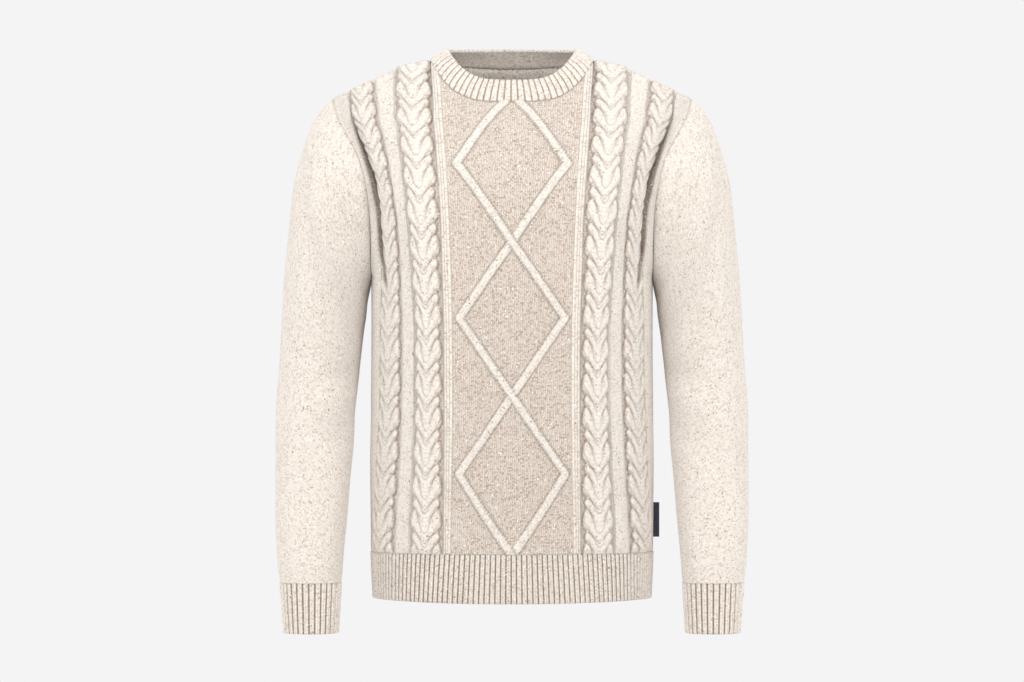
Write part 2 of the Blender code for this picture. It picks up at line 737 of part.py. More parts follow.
def zigzag_edges(offset):
    """Chart points of the diamond lines' edges, moved sideways by an offset."""
    lines = []
    for side in (-1, 1):
        turns = [np.array([side * turn.across * DIAMOND_SIDE, turn.rise]) for turn in DIAMONDS]
        corners = []
        for before, turn, after in zip([turns[0]] + turns[:-1], turns, turns[1:] + [turns[-1]]):
            sides = [unit((b - a)[None])[0] for a, b in ((before, turn), (turn, after))
                     if np.any(a != b)]
            across = unit(np.mean([[s[1], -s[0]] for s in sides], axis=0)[None])[0]
            corners.append(turn + across * offset / (across @ [sides[0][1], -sides[0][0]]))
        points = []
        for low, high in zip(corners[:-1], corners[1:]):
            points += [low + (high - low) * share for share in np.arange(7) / 7]
        lines.append(points + [corners[-1]])
    return lines


def front_pattern():
    """Outer chart points and edges that carry the front's stitch patterns."""
    points, edges = [], []
    margin = 2.2

    def chain(places):
        kept = [p for p in places if margin < p[1] < PANEL_RISE - margin]
        start = len(points)
        points.extend((float(p[0]), float(p[1])) for p in kept)
        edges.extend((start + i, start + i + 1) for i in range(len(kept) - 1))

    for offset in (-DIAMOND_FOOT, -DIAMOND_TOP, DIAMOND_TOP, DIAMOND_FOOT):
        for line in zigzag_edges(offset):
            chain(line)
    for rise in np.arange(22.0, PANEL_RISE, 24.0):
        for across in (-60.0, -40.0, -20.0, 0.0, 20.0, 40.0, 60.0):
            if diamond_distance(np.array([across]), np.array([rise]))[0] > 2 * DIAMOND_FOOT:
                chain([(across, rise)])
    rows = np.arange(7.0, PANEL_RISE, CABLE_REPEAT / 3)
    groove_1 = (INNER_CABLE[1] + STRIP[0]) / 2
    groove_2 = (STRIP[1] + OUTER_CABLE[0]) / 2
    groove_3 = (OUTER_CABLE[1] + SIDE_START) / 2
    lines = (CORD[0] - 0.6, CORD[0] + 1.6, CORD[1] - 1.6, CORD[1] + 0.6, groove_1, STRIP[0],
             STRIP[1], groove_2, groove_3, SIDE_START)
    for side in (-1, 1):
        for line in lines:
            chain([(side * line, row) for row in rows])
        for place in (208.0, 223.0):
            chain([(side * place, row) for row in rows[::2]])
    for side in (-1, 1):
        for cable in (INNER_CABLE, OUTER_CABLE):
            middle, half = (cable[0] + cable[1]) / 2, (cable[1] - cable[0]) / 2
            for rise in [CABLE_FIRST + CABLE_REPEAT * (repeat + phase)
                         for repeat in range(-1, 17) for phase in CABLE_PHASES]:
                chain([(side * (middle + lane * half), rise - CABLE_DIP * (1 - abs(lane)))
                       for lane in CABLE_LANES])
    return points, edges


def grid_places(step_u, step_v, half_u):
    us = np.linspace(-half_u, half_u, int(2 * half_u / step_u) + 1)
    vs = np.linspace(step_v, PANEL_RISE - step_v, int((PANEL_RISE - 2 * step_v) / step_v) + 1)
    return [(float(u), float(v)) for u in us for v in vs]


def close_places(columns, low, high, step):
    """Closer points where the surface bends, on both halves of the chart."""
    rises = np.arange(low, high, step)
    return [(side * u, float(v)) for side in (-1, 1) for u in columns for v in rises]


def make_body(charts, material):
    cable_lines = []
    for cable in (INNER_CABLE, OUTER_CABLE):
        middle, half = (cable[0] + cable[1]) / 2, (cable[1] - cable[0]) / 2
        cable_lines += [middle + lane * half for lane in (-1, -0.66, -0.33, 0, 0.33, 0.66, 1)]
    middle_lines = [8.0, 16.0, 25.0, 34.0, 43.0, 52.0, 58.0, 63.0, 67.0, 70.0, 73.0, CORD[0],
                    78.0, 80.0, 82.0, 83.5, CORD[1], 85.7, 86.3, 86.9]
    side_lines = [126.5, STRIP[0], STRIP[1], 152.0, 192.5, SIDE_START, 206.0, 222.0]
    half_line = sorted(middle_lines + [NECK_POINT] + cable_lines[1:] + side_lines)
    top = [-u for u in reversed(half_line)] + [0.0] + half_line
    bottom = [-HALF_PANEL] + top + [HALF_PANEL]
    sides = list(np.linspace(0, STRAIGHT_RISE, 15)[1:-1])
    lines = {"top": top, "bottom": bottom}
    border, seams = border_of("front", charts, lines, sides)
    points, edges = front_pattern()
    count = len(border)
    edges = [(a + count, b + count) for a, b in edges]
    inner = grid_places(26.0, 30.0, 215.0)
    inner += close_places(FOLD_COLUMNS, 330.0, 618.0, 22.0)
    inner += close_places(NECK_COLUMNS, 430.0, 618.0, 26.0)
    panel_piece("front_panel", charts["front"], border, seams, points, edges, inner,
                front_relief, material)
    half_line = [9.0, 18.0, 27.0, 36.0, 45.0, 54.0, 62.0, 69.0, 76.0, 82.0, NECK_POINT,
                 97.0, 110.0, 125.0, 138.0, 151.0, 165.0, 178.0, 190.5, 206.0, 222.0]
    top = [-u for u in reversed(half_line)] + [0.0] + half_line
    half_hem = [22.0 * k for k in range(1, 11)]
    bottom = [-HALF_PANEL] + [-u for u in reversed(half_hem)] + [0.0] + half_hem + [HALF_PANEL]
    border, seams = border_of("back", charts, {"top": top, "bottom": bottom}, sides)
    close = close_places(NECK_COLUMNS, 470.0, 618.0, 26.0)
    panel_piece("back_panel", charts["back"], border, seams,
                grid_places(23.0, 30.0, 220.0) + close, [],
                grid_places(28.0, 34.0, 215.0) + close, stockinette_relief, material)


def make_sleeve(charts, name, mirror, material):
    """A sleeve that starts at the armhole seam and ends at the cuff seam."""
    angles = armhole_angles()
    outer_rows = [0, 0.5, 1, 1.7, 2.4, 3.2, 4, 5, 5.6, 6.3, 7, 7.6, 8.6, 9.5, 10.4, 11]
    inner_rows = [0, 1, 2.4, 4, 5.6, 7, 8.6, 10, 11]
    grids = []
    for rows, offset in ((outer_rows, STOCKINETTE_HEIGHT), (inner_rows, -WALL)):
        ring, angle = np.meshgrid(np.array(rows, float), angles, indexing="ij")
        base = sleeve_surface(charts, ring, angle)
        out = loop_normals(base)
        share = ease(0, 1.6, ring) if offset > 0 else 1.0
        lift = offset * share + sleeve_fold_depth(ring, angle)
        grids.append(base + out * lift[..., None])
    seams = [[(place, -towards)] for place, towards in left_armhole_seam(charts)]
    cuff = np.array([0.0, 0.0, CUFF_SEAM])
    down = np.array([0.0, 0.0, -1.0])
    for grid in grids:
        grid[0] = drawn_back(grid[0], seams)
        grid[-1] = drawn_back(grid[-1], [[(cuff, down)]] * len(angles))
    outer, inner = grids
    count = len(angles)
    shift = outer.shape[0] * count
    faces = []
    for row in range(outer.shape[0] - 1):
        faces += ring_faces(count, row * count, (row + 1) * count)
    for row in range(inner.shape[0] - 1):
        faces += [(a, c, b) for a, b, c in
                  ring_faces(count, shift + row * count, shift + (row + 1) * count)]
    faces += [(a, c, b) for a, b, c in ring_faces(count, 0, shift)]
    last_outer = shift - count
    last_inner = shift + (inner.shape[0] - 1) * count
    faces += ring_faces(count, last_outer, last_inner)
    points = np.concatenate([outer.reshape(-1, 3), inner.reshape(-1, 3)])
    if mirror:
        points = points * np.array([-1, 1, 1])
    else:
        faces = [(a, c, b) for a, b, c in faces]
    return add_piece(name, points, faces, material)


def rib_height(index):
    return RIB_HEIGHT if index % 2 else 0.0


def ribbed_ring(name, surface, ribs, rows, inner_points, wall, material, lower, upper):
    """A closed ribbed band: surface gives base points and outward directions."""
    count = 2 * ribs
    turn = np.linspace(0, 1, count, endpoint=False)
    lift = np.array([rib_height(i) for i in range(count)])
    outer_rows = [surface(turn, row) for row in rows]
    outer = [base + out * lift[:, None] for base, out in outer_rows]
    coarse = np.linspace(0, 1, inner_points, endpoint=False)
    inner_rows = [surface(coarse, row) for row in rows]
    inner = [base - out * wall for base, out in inner_rows]
    outer[0], inner[0] = lower(outer[0], turn), lower(inner[0], coarse)
    outer[-1], inner[-1] = upper(outer[-1], turn), upper(inner[-1], coarse)
    faces = []
    for row in range(len(rows) - 1):
        faces += ring_faces(count, row * count, (row + 1) * count)
    shift = len(rows) * count
    for row in range(len(rows) - 1):
        faces += [(a, c, b) for a, b, c in
                  ring_faces(inner_points, shift + row * inner_points,
                             shift + (row + 1) * inner_points)]

    def rim(first_outer, first_inner):
        fine = list(turn) + [1.0]
        rough = list(coarse) + [1.0]
        found = []
        for face in zipped_faces(fine, rough, 0, count + 1):
            mapped = []
            for i in face:
                if i <= count:
                    mapped.append(first_outer + i % count)
                else:
                    mapped.append(first_inner + (i - count - 1) % inner_points)
            found.append(tuple(mapped))
        return found

    faces += [(a, c, b) for a, b, c in rim(0, shift)]
    faces += rim((len(rows) - 1) * count, shift + (len(rows) - 1) * inner_points)
    points = np.concatenate(outer + inner)
    return add_piece(name, points, faces, material)


def make_collar(charts, material):
    def middle(turn, row):
        angle = 2 * math.pi * turn
        low, high = neck_seam(angle), neck_edge(angle)
        out = unit(np.stack([np.sin(angle), -np.cos(angle), 0.35 + 0 * angle], axis=-1))
        return low * (1 - row) + high * row + out * (1.2 * math.sin(math.pi * row))

    def surface(turn, row):
        step = 1e-3
        around = middle(turn + step, row) - middle(turn - step, row)
        up = middle(turn, row + 0.05) - middle(turn, row - 0.05)
        return middle(turn, row), unit(np.cross(around, up))

    def lower(points, turn):
        seams = []
        for part in turn:
            angle = 2 * math.pi * part
            folded = angle if angle <= math.pi else 2 * math.pi - angle
            chart = charts["back" if folded > math.pi / 2 else "front"]
            if chart.back:
                across = (math.pi - folded) / (math.pi / 2) * NECK_POINT
            else:
                tries = np.linspace(0, NECK_POINT, 400)
                across = float(np.interp(folded, [front_neck_angle(t) for t in tries], tries))
            across = across if angle <= math.pi else -across
            place = neck_seam(np.array(angle))
            down = unit((place - neck_edge(np.array(angle)))[None])[0]
            leaving = chart.leaving(across, PANEL_RISE, 0.0, 1.0)
            seams.append([(place, seam_towards(down, leaving))])
        return drawn_back(points, seams, COLLAR_SEAM_GAP)

    ribbed_ring("neck_rib", surface, COLLAR_RIBS, (0.0, 0.45, 1.0), 96, COLLAR_WALL,
                material, lower, lambda points, turn: points)


def make_cuff(name, side, material):
    top = (249.9, -38.0, 36.6, 35.0)
    bottom = (249.6, -40.0, 32.6, 31.5)

    def surface(turn, row):
        angle = 2 * math.pi * turn
        x0, y0, wide, deep = (a * (1 - row) + b * row for a, b in zip(bottom, top))
        z = CUFF_EDGE * (1 - row) + CUFF_SEAM * row
        x = side * x0 + wide * np.sin(angle)
        y = y0 - deep * np.cos(angle)
        out = unit(np.stack([np.sin(angle) / wide, -np.cos(angle) / deep, 0 * angle], axis=-1))
        return np.stack([x, y, np.full_like(x, z)], axis=-1), out

    def upper(points, turn):
        moved = points.copy()
        moved[:, 2] = CUFF_SEAM - SEAM_HALF_GAP
        return moved

    ribbed_ring(name, surface, CUFF_RIBS, (0.0, 1.0), 20, WALL, material,
                lambda points, turn: points, upper)


def make_hem(name, back, material):
    """Half of the ribbed hem, from side seam to side seam."""
    side = 1 if back else -1
    count = 2 * HEM_RIBS + 1
    coarse_count = 25

    def row_points(turns, height, lift, dip=0.0):
        half_width = float(table(BODY, "height", "half_width", height))
        depth = float(table(BODY, "height", "back_depth" if back else "front_depth", height))
        x = half_width * np.sin(turns)
        y = side * depth * np.cos(turns)
        out = unit(np.stack([x / half_width**2, y / depth**2, 0 * x], axis=-1))
        base = np.stack([x, y, height - dip * np.cos(turns) ** 2], axis=-1)
        moved = base + out * np.asarray(lift)[:, None]
        limit = SEAM_HALF_GAP * side
        moved[:, 1] = np.maximum(moved[:, 1], limit) if back else np.minimum(moved[:, 1], limit)
        return moved

    fine = np.linspace(-math.pi / 2, math.pi / 2, count)
    rough = np.linspace(-math.pi / 2, math.pi / 2, coarse_count)
    lift = [rib_height(i) for i in range(count)]
    wall = [-WALL] * coarse_count
    top = HEM_SEAM - SEAM_HALF_GAP
    dip = 0.0 if back else HEM_DIP
    rows = [row_points(fine, HEM_EDGE, lift, dip), row_points(fine, top, lift),
            row_points(rough, HEM_EDGE, wall, dip), row_points(rough, top, wall)]
    shift = 2 * count
    faces = ring_faces(count, 0, count, closed=False)
    faces += [(a, c, b) for a, b, c in
              ring_faces(coarse_count, shift, shift + coarse_count, closed=False)]
    fine_part, rough_part = np.linspace(0, 1, count), np.linspace(0, 1, coarse_count)
    faces += [(a, c, b) for a, b, c in zipped_faces(fine_part, rough_part, 0, shift)]
    faces += zipped_faces(fine_part, rough_part, count, shift + coarse_count)
    ends = ((0, count, shift + coarse_count, shift), (count - 1, shift - 1,
            shift + 2 * coarse_count - 1, shift + coarse_count - 1))
    first, last = ends
    faces += [(first[0], first[1], first[2]), (first[0], first[2], first[3])]
    faces += [(last[0], last[2], last[1]), (last[0], last[3], last[2])]
    if back:
        faces = [(a, c, b) for a, b, c in faces]
    return add_piece(name, np.concatenate(rows), faces, material)


def make_label(material):
    """A folded ribbon label without print, sewn into the side seam."""
    half_width = float(table(BODY, "height", "half_width", LABEL_TOP))
    low = np.array([half_width + LABEL_GAP, -LABEL_THICKNESS / 2, LABEL_BOTTOM])
    high = np.array([half_width + LABEL_REACH, LABEL_THICKNESS / 2, LABEL_TOP])
    corners = [[x, y, z] for x in (low[0], high[0]) for y in (low[1], high[1])
               for z in (low[2], high[2])]
    faces = [(0, 1, 3, 2), (4, 6, 7, 5), (0, 4, 5, 1), (2, 3, 7, 6), (0, 2, 6, 4), (1, 5, 7, 3)]
    return add_piece("side_label", np.array(corners), faces, material)


def main():
    clear_scene()
    yarn = yarn_material("oat_yarn", OAT_YARN, YARN_ROUGHNESS)
    ribbon = yarn_material("label_ribbon", LABEL_CLOTH, 0.6)
    charts = {"front": Chart(back=False), "back": Chart(back=True)}
    make_body(charts, yarn)
    make_sleeve(charts, "sleeve_left", False, yarn)
    make_sleeve(charts, "sleeve_right", True, yarn)
    make_collar(charts, yarn)
    make_cuff("cuff_left", -1, yarn)
    make_cuff("cuff_right", 1, yarn)
    make_hem("hem_rib_front", False, yarn)
    make_hem("hem_rib_back", True, yarn)
    make_label(ribbon)


main()
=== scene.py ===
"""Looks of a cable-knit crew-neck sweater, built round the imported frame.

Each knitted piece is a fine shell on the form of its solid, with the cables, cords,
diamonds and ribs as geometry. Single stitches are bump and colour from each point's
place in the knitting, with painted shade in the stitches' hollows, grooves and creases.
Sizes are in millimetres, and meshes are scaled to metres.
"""

import math

import bpy
import numpy as np
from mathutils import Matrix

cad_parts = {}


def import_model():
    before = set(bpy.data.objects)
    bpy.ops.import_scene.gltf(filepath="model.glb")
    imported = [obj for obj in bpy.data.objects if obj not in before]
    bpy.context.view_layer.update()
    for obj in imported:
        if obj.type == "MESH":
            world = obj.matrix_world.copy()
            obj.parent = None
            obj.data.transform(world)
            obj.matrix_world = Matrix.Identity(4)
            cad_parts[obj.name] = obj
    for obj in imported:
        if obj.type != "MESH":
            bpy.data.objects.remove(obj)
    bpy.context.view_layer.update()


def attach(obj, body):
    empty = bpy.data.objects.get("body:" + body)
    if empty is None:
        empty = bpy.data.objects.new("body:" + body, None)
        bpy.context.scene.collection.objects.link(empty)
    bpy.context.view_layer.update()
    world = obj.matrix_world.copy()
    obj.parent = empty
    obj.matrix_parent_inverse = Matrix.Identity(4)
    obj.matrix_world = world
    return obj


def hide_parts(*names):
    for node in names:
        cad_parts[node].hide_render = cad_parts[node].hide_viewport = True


MM = 0.001

# Form of the body, as in the solids
WALL = 2.3
HEM_SEAM = -614.0
HEM_EDGE = -672.0
HEM_DIP = 3.4
ARMPIT = -272.0
CUFF_SEAM = -650.5
CUFF_EDGE = -713.5
FRONT_FULLNESS = 9.0
BACK_FULLNESS = 30.0
HALF_PANEL = 238.0
NECK_POINT = 87.5
STRAIGHT_RISE = ARMPIT - HEM_SEAM
SHAPED_RISE = 288.0
PANEL_RISE = STRAIGHT_RISE + SHAPED_RISE

# Places of the stitch patterns across the front
CORD = (76.0, 85.0)
INNER_CABLE = (88.0, 125.0)
STRIP = (128.0, 150.5)
OUTER_CABLE = (153.5, 190.5)
SIDE_START = 194.5
CABLE_REPEAT = 42.0
CABLE_FIRST = 14.8
DIAMOND_SIDE = 67.0

# Size of one stitch, across and up, and width of one rib of the cord
WALE = 2.5
COURSE = 1.95
CORD_RIB = 3.0

# How far each pattern stands out of the panel
CABLE_HEIGHT = 4.6
LINE_HEIGHT = 2.7
STRIP_HEIGHT = 1.6
SIDE_HEIGHT = 1.4
BACK_HEIGHT = 1.1
SEAM_HEIGHT = 0.8
RIB_HEIGHT = 1.9

# Half width of a diamond line, and distance where the lower of two crossing ones shows
LINE_HALF = 5.2
LINE_CLEAR = 6.0

# Share of a rib that its two knit wales fill
KNIT_SHARE = 0.72

# Share of purl in the plain knitting, which also sets how much painted stitch shade shows
# the insides are purl, but kept at part share so they show less painted shade and read lighter:
# partly painted light
INSIDE_PURL_LIGHTENED = 0.4
# painted shade: the sleeves' share darkens the plain sleeves as if in shade
SLEEVE_PAINTED_SHADE = 0.16
# painted light: the side's negative share paints the plain side lighter, as if brightly lit
SIDE_PAINTED_LIGHT = -0.3

# Length of the panels' uneven swell, then the seed of its draws and its height
SWELL_LENGTH = 150.0
FRONT_SWELL = (7, 0.9)
BACK_SWELL = (3, 1.6)

# height, half width, front depth and back depth of the body's sections
BODY = np.array([
    (-672, 172.5, 90, 88), (-614, 175, 97, 94), (-550, 176, 105, 101),
    (-480, 176, 113, 107), (-400, 175, 120, 112), (-340, 174.5, 125, 116),
    (-272, 175, 130, 120)], float)

# height, then how far out the cord, both cables' edges and the side seam lie
LINES = np.array([
    (-672, 75.5, 86.0, 123.5, 145.0, 169.5, 172.5),
    (-614, 76.0, 87.0, 125.0, 146.5, 171.5, 175),
    (-500, 74.0, 86.3, 120.5, 140.5, 167.0, 176),
    (-424, 73.2, 86.0, 118.3, 137.5, 163.5, 175.3),
    (-340, 73.5, 86.3, 118.0, 136.5, 162.0, 174.5),
    (-272, 75.0, 88.0, 121.5, 138.0, 160.5, 175),
    (-205, 77.5, 90.0, 127.0, 142.0, 161.5, 176.4),
    (-150, 80.0, 93.5, 132.3, 149.5, 168.0, 183),
    (-121, 81.5, 95.5, 135.3, 154.0, 177.0, 191),
    (-76, 84.0, 98.5, 141.0, 163.0, 192.0, 215)], float)

# place across the chart, then x, y and z of the shoulder seam
SHOULDER = np.array([
    (87.5, 101, 2, -1), (125, 146, 4, -12.3), (151, 172, 5, -24.5),
    (190.5, 204, 7, -40), (238, 224, 8, -48)], float)

# height, x, front y and back y of the armhole seam
ARMHOLE = np.array([
    (-272, 175, 0, 0), (-267, 175, -19, 17), (-254, 175, -33, 30),
    (-232, 175.3, -42, 40), (-191, 177, -48, 51), (-150, 183, -50, 56),
    (-121, 191, -46, 53), (-96, 204, -37, 45), (-76, 215, -26, 35),
    (-59, 221, -9, 24), (-48, 224, 8, 8)], float)

# rise of each turn of the diamond lines, and its place across
DIAMONDS = [(-2.0, 0), (100.0, 1), (195.7, 0), (291.0, -1), (393.7, 0), (502.0, 0.955), (645.0, 0)]

# height, place across the chart and depth of the fold beside the armhole
ARMHOLE_FOLD = np.array([
    (-310, 170, 0), (-285, 177, 1.4), (-262, 184, 3.2), (-225, 190, 4.6),
    (-180, 193, 4.6), (-120, 194, 2.8), (-75, 195, 1.2), (-45, 196, 0)], float)
FOLD_WIDTH = 7.5

# outer x and z, inner x and z, middle y and half depth of the left sleeve's rings
SLEEVE = np.array([
    (-224.0, -48.0, -175.0, -272.0, 3, 51), (-243.5, -70.0, -178.3, -287.0, 3, 57),
    (-262.6, -117.8, -181.3, -304.0, 3, 62), (-272.5, -164.0, -184.6, -327.0, 2, 64),
    (-280.6, -239.8, -188.0, -358.0, -1, 64), (-285.5, -310.0, -191.5, -392.0, -6, 61),
    (-289.5, -375.0, -194.5, -430.0, -12, 56.5), (-292.5, -445.0, -198.5, -476.0, -19, 51.5),
    (-293.4, -515.0, -202.5, -527.0, -26, 47), (-292.8, -580.0, -207.0, -582.0, -32, 43),
    (-290.5, -625.0, -210.5, -625.0, -36, 40), (-286.8, -650.5, -213.0, -650.5, -38, 36)])

# ring, angle, depth, half length in rings, half width in degrees and slant of sleeve folds
SLEEVE_FOLDS = [
    (3.2, 62, -3.8, 0.55, 34, 0.020), (5.6, 118, -5.0, 0.42, 46, -0.016),
    (6.3, 98, 3.6, 0.40, 40, -0.014), (7.0, 122, -4.6, 0.40, 44, -0.012),
    (8.6, 80, -2.6, 0.45, 40, 0.012), (5.9, 252, -3.8, 0.45, 42, 0.014),
    (7.1, 236, -3.4, 0.45, 40, 0.012)]


def monotone(knots, values, at):
    """Smooth interpolation through the knots that never overshoots them."""
    knots = np.asarray(knots, float)
    values = np.asarray(values, float)
    at = np.clip(np.asarray(at, float), knots[0], knots[-1])
    step = np.diff(knots)
    slope = np.diff(values) / step
    tangent = np.zeros(len(knots))
    for i in range(1, len(knots) - 1):
        if slope[i - 1] * slope[i] > 0:
            near = 2 * step[i] + step[i - 1]
            far = step[i] + 2 * step[i - 1]
            tangent[i] = (near + far) / (near / slope[i - 1] + far / slope[i])
    tangent[0] = slope[0]
    tangent[-1] = slope[-1]
    i = np.clip(np.searchsorted(knots, at, side="right") - 1, 0, len(step) - 1)
    t = (at - knots[i]) / step[i]
    low = values[i] * (1 + 2 * t) * (1 - t) ** 2 + tangent[i] * step[i] * t * (1 - t) ** 2
    high = values[i + 1] * t * t * (3 - 2 * t) - tangent[i + 1] * step[i] * t * t * (1 - t)
    return low + high


def table(rows, column, at):
    """Value of a column of one of the tables above at places of its first column."""
    return monotone(rows[:, 0], rows[:, column], at)


def ease(low, high, at):
    """Smooth step from 0 at the low place to 1 at the high one."""
    t = np.clip((np.asarray(at, float) - low) / (high - low), 0, 1)
    return t * t * (3 - 2 * t)


def unit(vectors):
    length = np.linalg.norm(vectors, axis=-1, keepdims=True)
    return vectors / np.maximum(length, 1e-9)


def neck_seam(angle):
    """Points of the neck opening's seam, by angle from the middle of the front."""
    sine, cosine = np.sin(angle), np.cos(angle)
    y = 2 - np.where(cosine > 0, 74, 76) * cosine
    z = np.where(cosine > 0, -55 + 54 * np.abs(sine) ** 3.8, -1 - 6 * cosine**2)
    return np.stack([101 * sine, y, z], axis=-1)


def neck_edge(angle):
    sine, cosine = np.sin(angle), np.cos(angle)
    z = np.where(cosine > 0, -28 + 41 * np.abs(sine) ** 3.6, 13 + 4 * cosine**2)
    return np.stack([79.5 * sine, 1.5 - 61.5 * cosine, z], axis=-1)


def panel_top(across, back):
    """Top of a wale: on the neck seam, or further out on the shoulder seam."""
    if across <= NECK_POINT:
        part = across / NECK_POINT
        angle = math.pi / 2 * (0.64 * part + 0.36 * part**6)
        if back:
            angle = math.pi - math.pi / 2 * part
        return neck_seam(np.array(angle))
    return np.array([table(SHOULDER, column, across) for column in (1, 2, 3)])


def armhole_curve(part, back):
    knots = ARMHOLE[:, (1, 3 if back else 2, 0)]
    chord = np.linalg.norm(np.diff(knots, axis=0), axis=1)
    along = np.concatenate([[0], np.cumsum(chord)]) / chord.sum()
    return np.stack([monotone(along, knots[:, axis], part) for axis in range(3)], axis=-1)


STATIONS = np.array([0, CORD[0], INNER_CABLE[0], INNER_CABLE[1], OUTER_CABLE[0],
                     OUTER_CABLE[1], HALF_PANEL])


def line_places(height):
    return np.array([np.zeros_like(height)] + [table(LINES, c, height) for c in range(1, 7)])


def straight_section(across, height, back):
    """Points of one wale below the armpits."""
    half_width = table(BODY, 1, height)
    depth = table(BODY, 3 if back else 2, height)
    if back:
        turn = np.full_like(height, math.pi / 2 * across / HALF_PANEL)
    else:
        turns = np.arcsin(np.clip(line_places(height) / half_width, 0, 1))
        turn = np.array([monotone(STATIONS, turns[:, i], across) for i in range(len(height))])
    side = 1 if back else -1
    return np.stack([half_width * np.sin(turn), side * depth * np.cos(turn), height], axis=-1)


def shaped_place(across, part, top, back):
    height = ARMPIT + (top[2] - ARMPIT) * part
    if back:
        start = BODY[-1, 1] * math.sin(math.pi / 2 * across / HALF_PANEL)
        return start + (top[0] - start) * part**1.6
    places = line_places(np.minimum(height, LINES[-1, 0]))
    x = np.array([monotone(STATIONS, places[:, i], across) for i in range(len(height))])
    start = straight_section(across, np.array([ARMPIT]), back)[0, 0]
    return x + (start - x[0]) * (1 - part) ** 6 + (top[0] - x[-1]) * part**4


def shaped_section(across, part, back):
    """Points of one wale above the armpits."""
    inner = min(across, OUTER_CABLE[1])
    top = panel_top(inner, back)
    base = straight_section(inner, np.array([ARMPIT]), back)[0]
    flat = 0.22 if back else 0.33
    bend = 1.5 + 1.3 * (1 - ease(0, 95, inner)) * (0 if back else 1)
    lean = (np.clip(part - flat, 0, 1) / (1 - flat)) ** bend
    swell = BACK_FULLNESS if back else -FRONT_FULLNESS
    swell = swell * ease(0 if back else 60, OUTER_CABLE[1], inner)
    swell = swell * ease(0, 0.3, part) * (1 - ease(0.6, 1, part))
    body = np.stack([
        shaped_place(inner, part, top, back),
        base[1] + (top[1] - base[1]) * lean + swell,
        ARMPIT + (top[2] - ARMPIT) * part,
    ], axis=-1)
    if across <= OUTER_CABLE[1]:
        return body
    share = (across - OUTER_CABLE[1]) / (HALF_PANEL - OUTER_CABLE[1])
    edge = armhole_curve(part, back)
    oval = straight_section(across, np.array([ARMPIT]), back)[0]
    edge_oval = straight_section(HALF_PANEL, np.array([ARMPIT]), back)[0]
    crown = oval - (base * (1 - share) + edge_oval * share)
    keep = 1 - ease(0, 0.4, part)
    seam_top = panel_top(across, back) - (top * (1 - share) + edge[-1] * share)
    points = body * (1 - share) + edge * share + crown * keep[:, None]
    return points + seam_top * (part**8)[:, None]


class Chart:
    """A body panel's middle surface as a grid of points, by u across and v up."""

    def __init__(self, back):
        self.back = back
        self.across = np.concatenate([
            NECK_POINT * np.sin(np.linspace(0, math.pi / 2, 61)[:-1]),
            np.linspace(NECK_POINT, HALF_PANEL, 87)])
        self.rise = np.linspace(0, PANEL_RISE, 211)
        low = self.rise[self.rise <= STRAIGHT_RISE + 1e-6]
        high = (self.rise[self.rise > STRAIGHT_RISE + 1e-6] - STRAIGHT_RISE) / SHAPED_RISE
        columns = []
        fine = np.linspace(0, 1, 240)
        for across in self.across:
            straight = straight_section(across, HEM_SEAM + low, back)
            shaped = shaped_section(across, fine, back)
            length = np.linalg.norm(np.diff(shaped, axis=0), axis=1)
            along = np.concatenate([[0], np.cumsum(length)]) / length.sum()
            upper = np.stack([np.interp(high, along, shaped[:, i]) for i in range(3)], axis=-1)
            columns.append(np.concatenate([straight, upper]))
        half = np.array(columns)
        mirrored = half[:0:-1] * np.array([-1, 1, 1])
        self.grid = np.concatenate([mirrored, half])
        self.columns = np.concatenate([-self.across[:0:-1], self.across])
        self.normals = self.grid_normals()
        self.fold = np.zeros(self.grid.shape[:2])
        if not back:
            self.press_armhole_fold()
            self.normals = self.grid_normals()
        steps = np.linalg.norm(np.diff(self.grid, axis=1), axis=-1)
        start = np.zeros((len(self.grid), 1))
        self.lengths = np.concatenate([start, np.cumsum(steps, axis=1)], axis=1)

    def grid_normals(self):
        across = np.gradient(self.grid, axis=0)
        up = np.gradient(self.grid, axis=1)
        normal = unit(np.cross(across, up))
        return -normal if self.back else normal

    def press_armhole_fold(self):
        middle = len(self.columns) // 2
        steps = np.linalg.norm(np.diff(self.grid[middle:], axis=0), axis=-1)
        half_dent = np.zeros((middle + 1, len(self.rise)))
        fade = 1 - ease(225, 237, self.across)
        for j in range(len(self.rise)):
            height = self.grid[middle:, j, 2]
            if height.max() < ARMHOLE_FOLD[0, 0]:
                continue
            length = np.concatenate([[0], np.cumsum(steps[:, j])])
            place = table(ARMHOLE_FOLD, 1, height)
            depth = table(ARMHOLE_FOLD, 2, height)
            offset = (length - np.interp(place, self.across, length)) / FOLD_WIDTH
            half_dent[:, j] = depth * np.exp(-offset**2) * fade
        dent = np.concatenate([half_dent[:0:-1], half_dent])
        self.fold = dent
        self.grid = self.grid - self.normals * dent[:, :, None]

    def sample(self, values, u, v):
        """Smooth value of a grid at places of the chart."""
        i = np.interp(u, self.columns, np.arange(len(self.columns)))
        j = np.interp(v, self.rise, np.arange(len(self.rise)))
        return cubic(values, i, j)

    def points(self, u, v):
        return self.sample(self.grid, u, v)

    def length(self, u, v):
        """Real length along the wale from the hem seam."""
        return self.sample(self.lengths[..., None], u, v)[..., 0]

    def outward(self, u, v):
        return unit(self.sample(self.normals, u, v))


def cubic(values, i, j):
    """Catmull-Rom value of a grid at broken row and column numbers."""
    def weights(t):
        return (-0.5 * t + t**2 - 0.5 * t**3, 1 - 2.5 * t**2 + 1.5 * t**3,
                0.5 * t + 2 * t**2 - 1.5 * t**3, -0.5 * t**2 + 0.5 * t**3)

    i0 = np.minimum(i.astype(int), values.shape[0] - 2)
    j0 = np.minimum(j.astype(int), values.shape[1] - 2)
    total = 0
    for k, across in enumerate(weights(i - i0)):
        row = np.clip(i0 + k - 1, 0, values.shape[0] - 1)
        for m, up in enumerate(weights(j - j0)):
            column = np.clip(j0 + m - 1, 0, values.shape[1] - 1)
            total = total + values[row, column] * (across * up)[..., None]
    return total


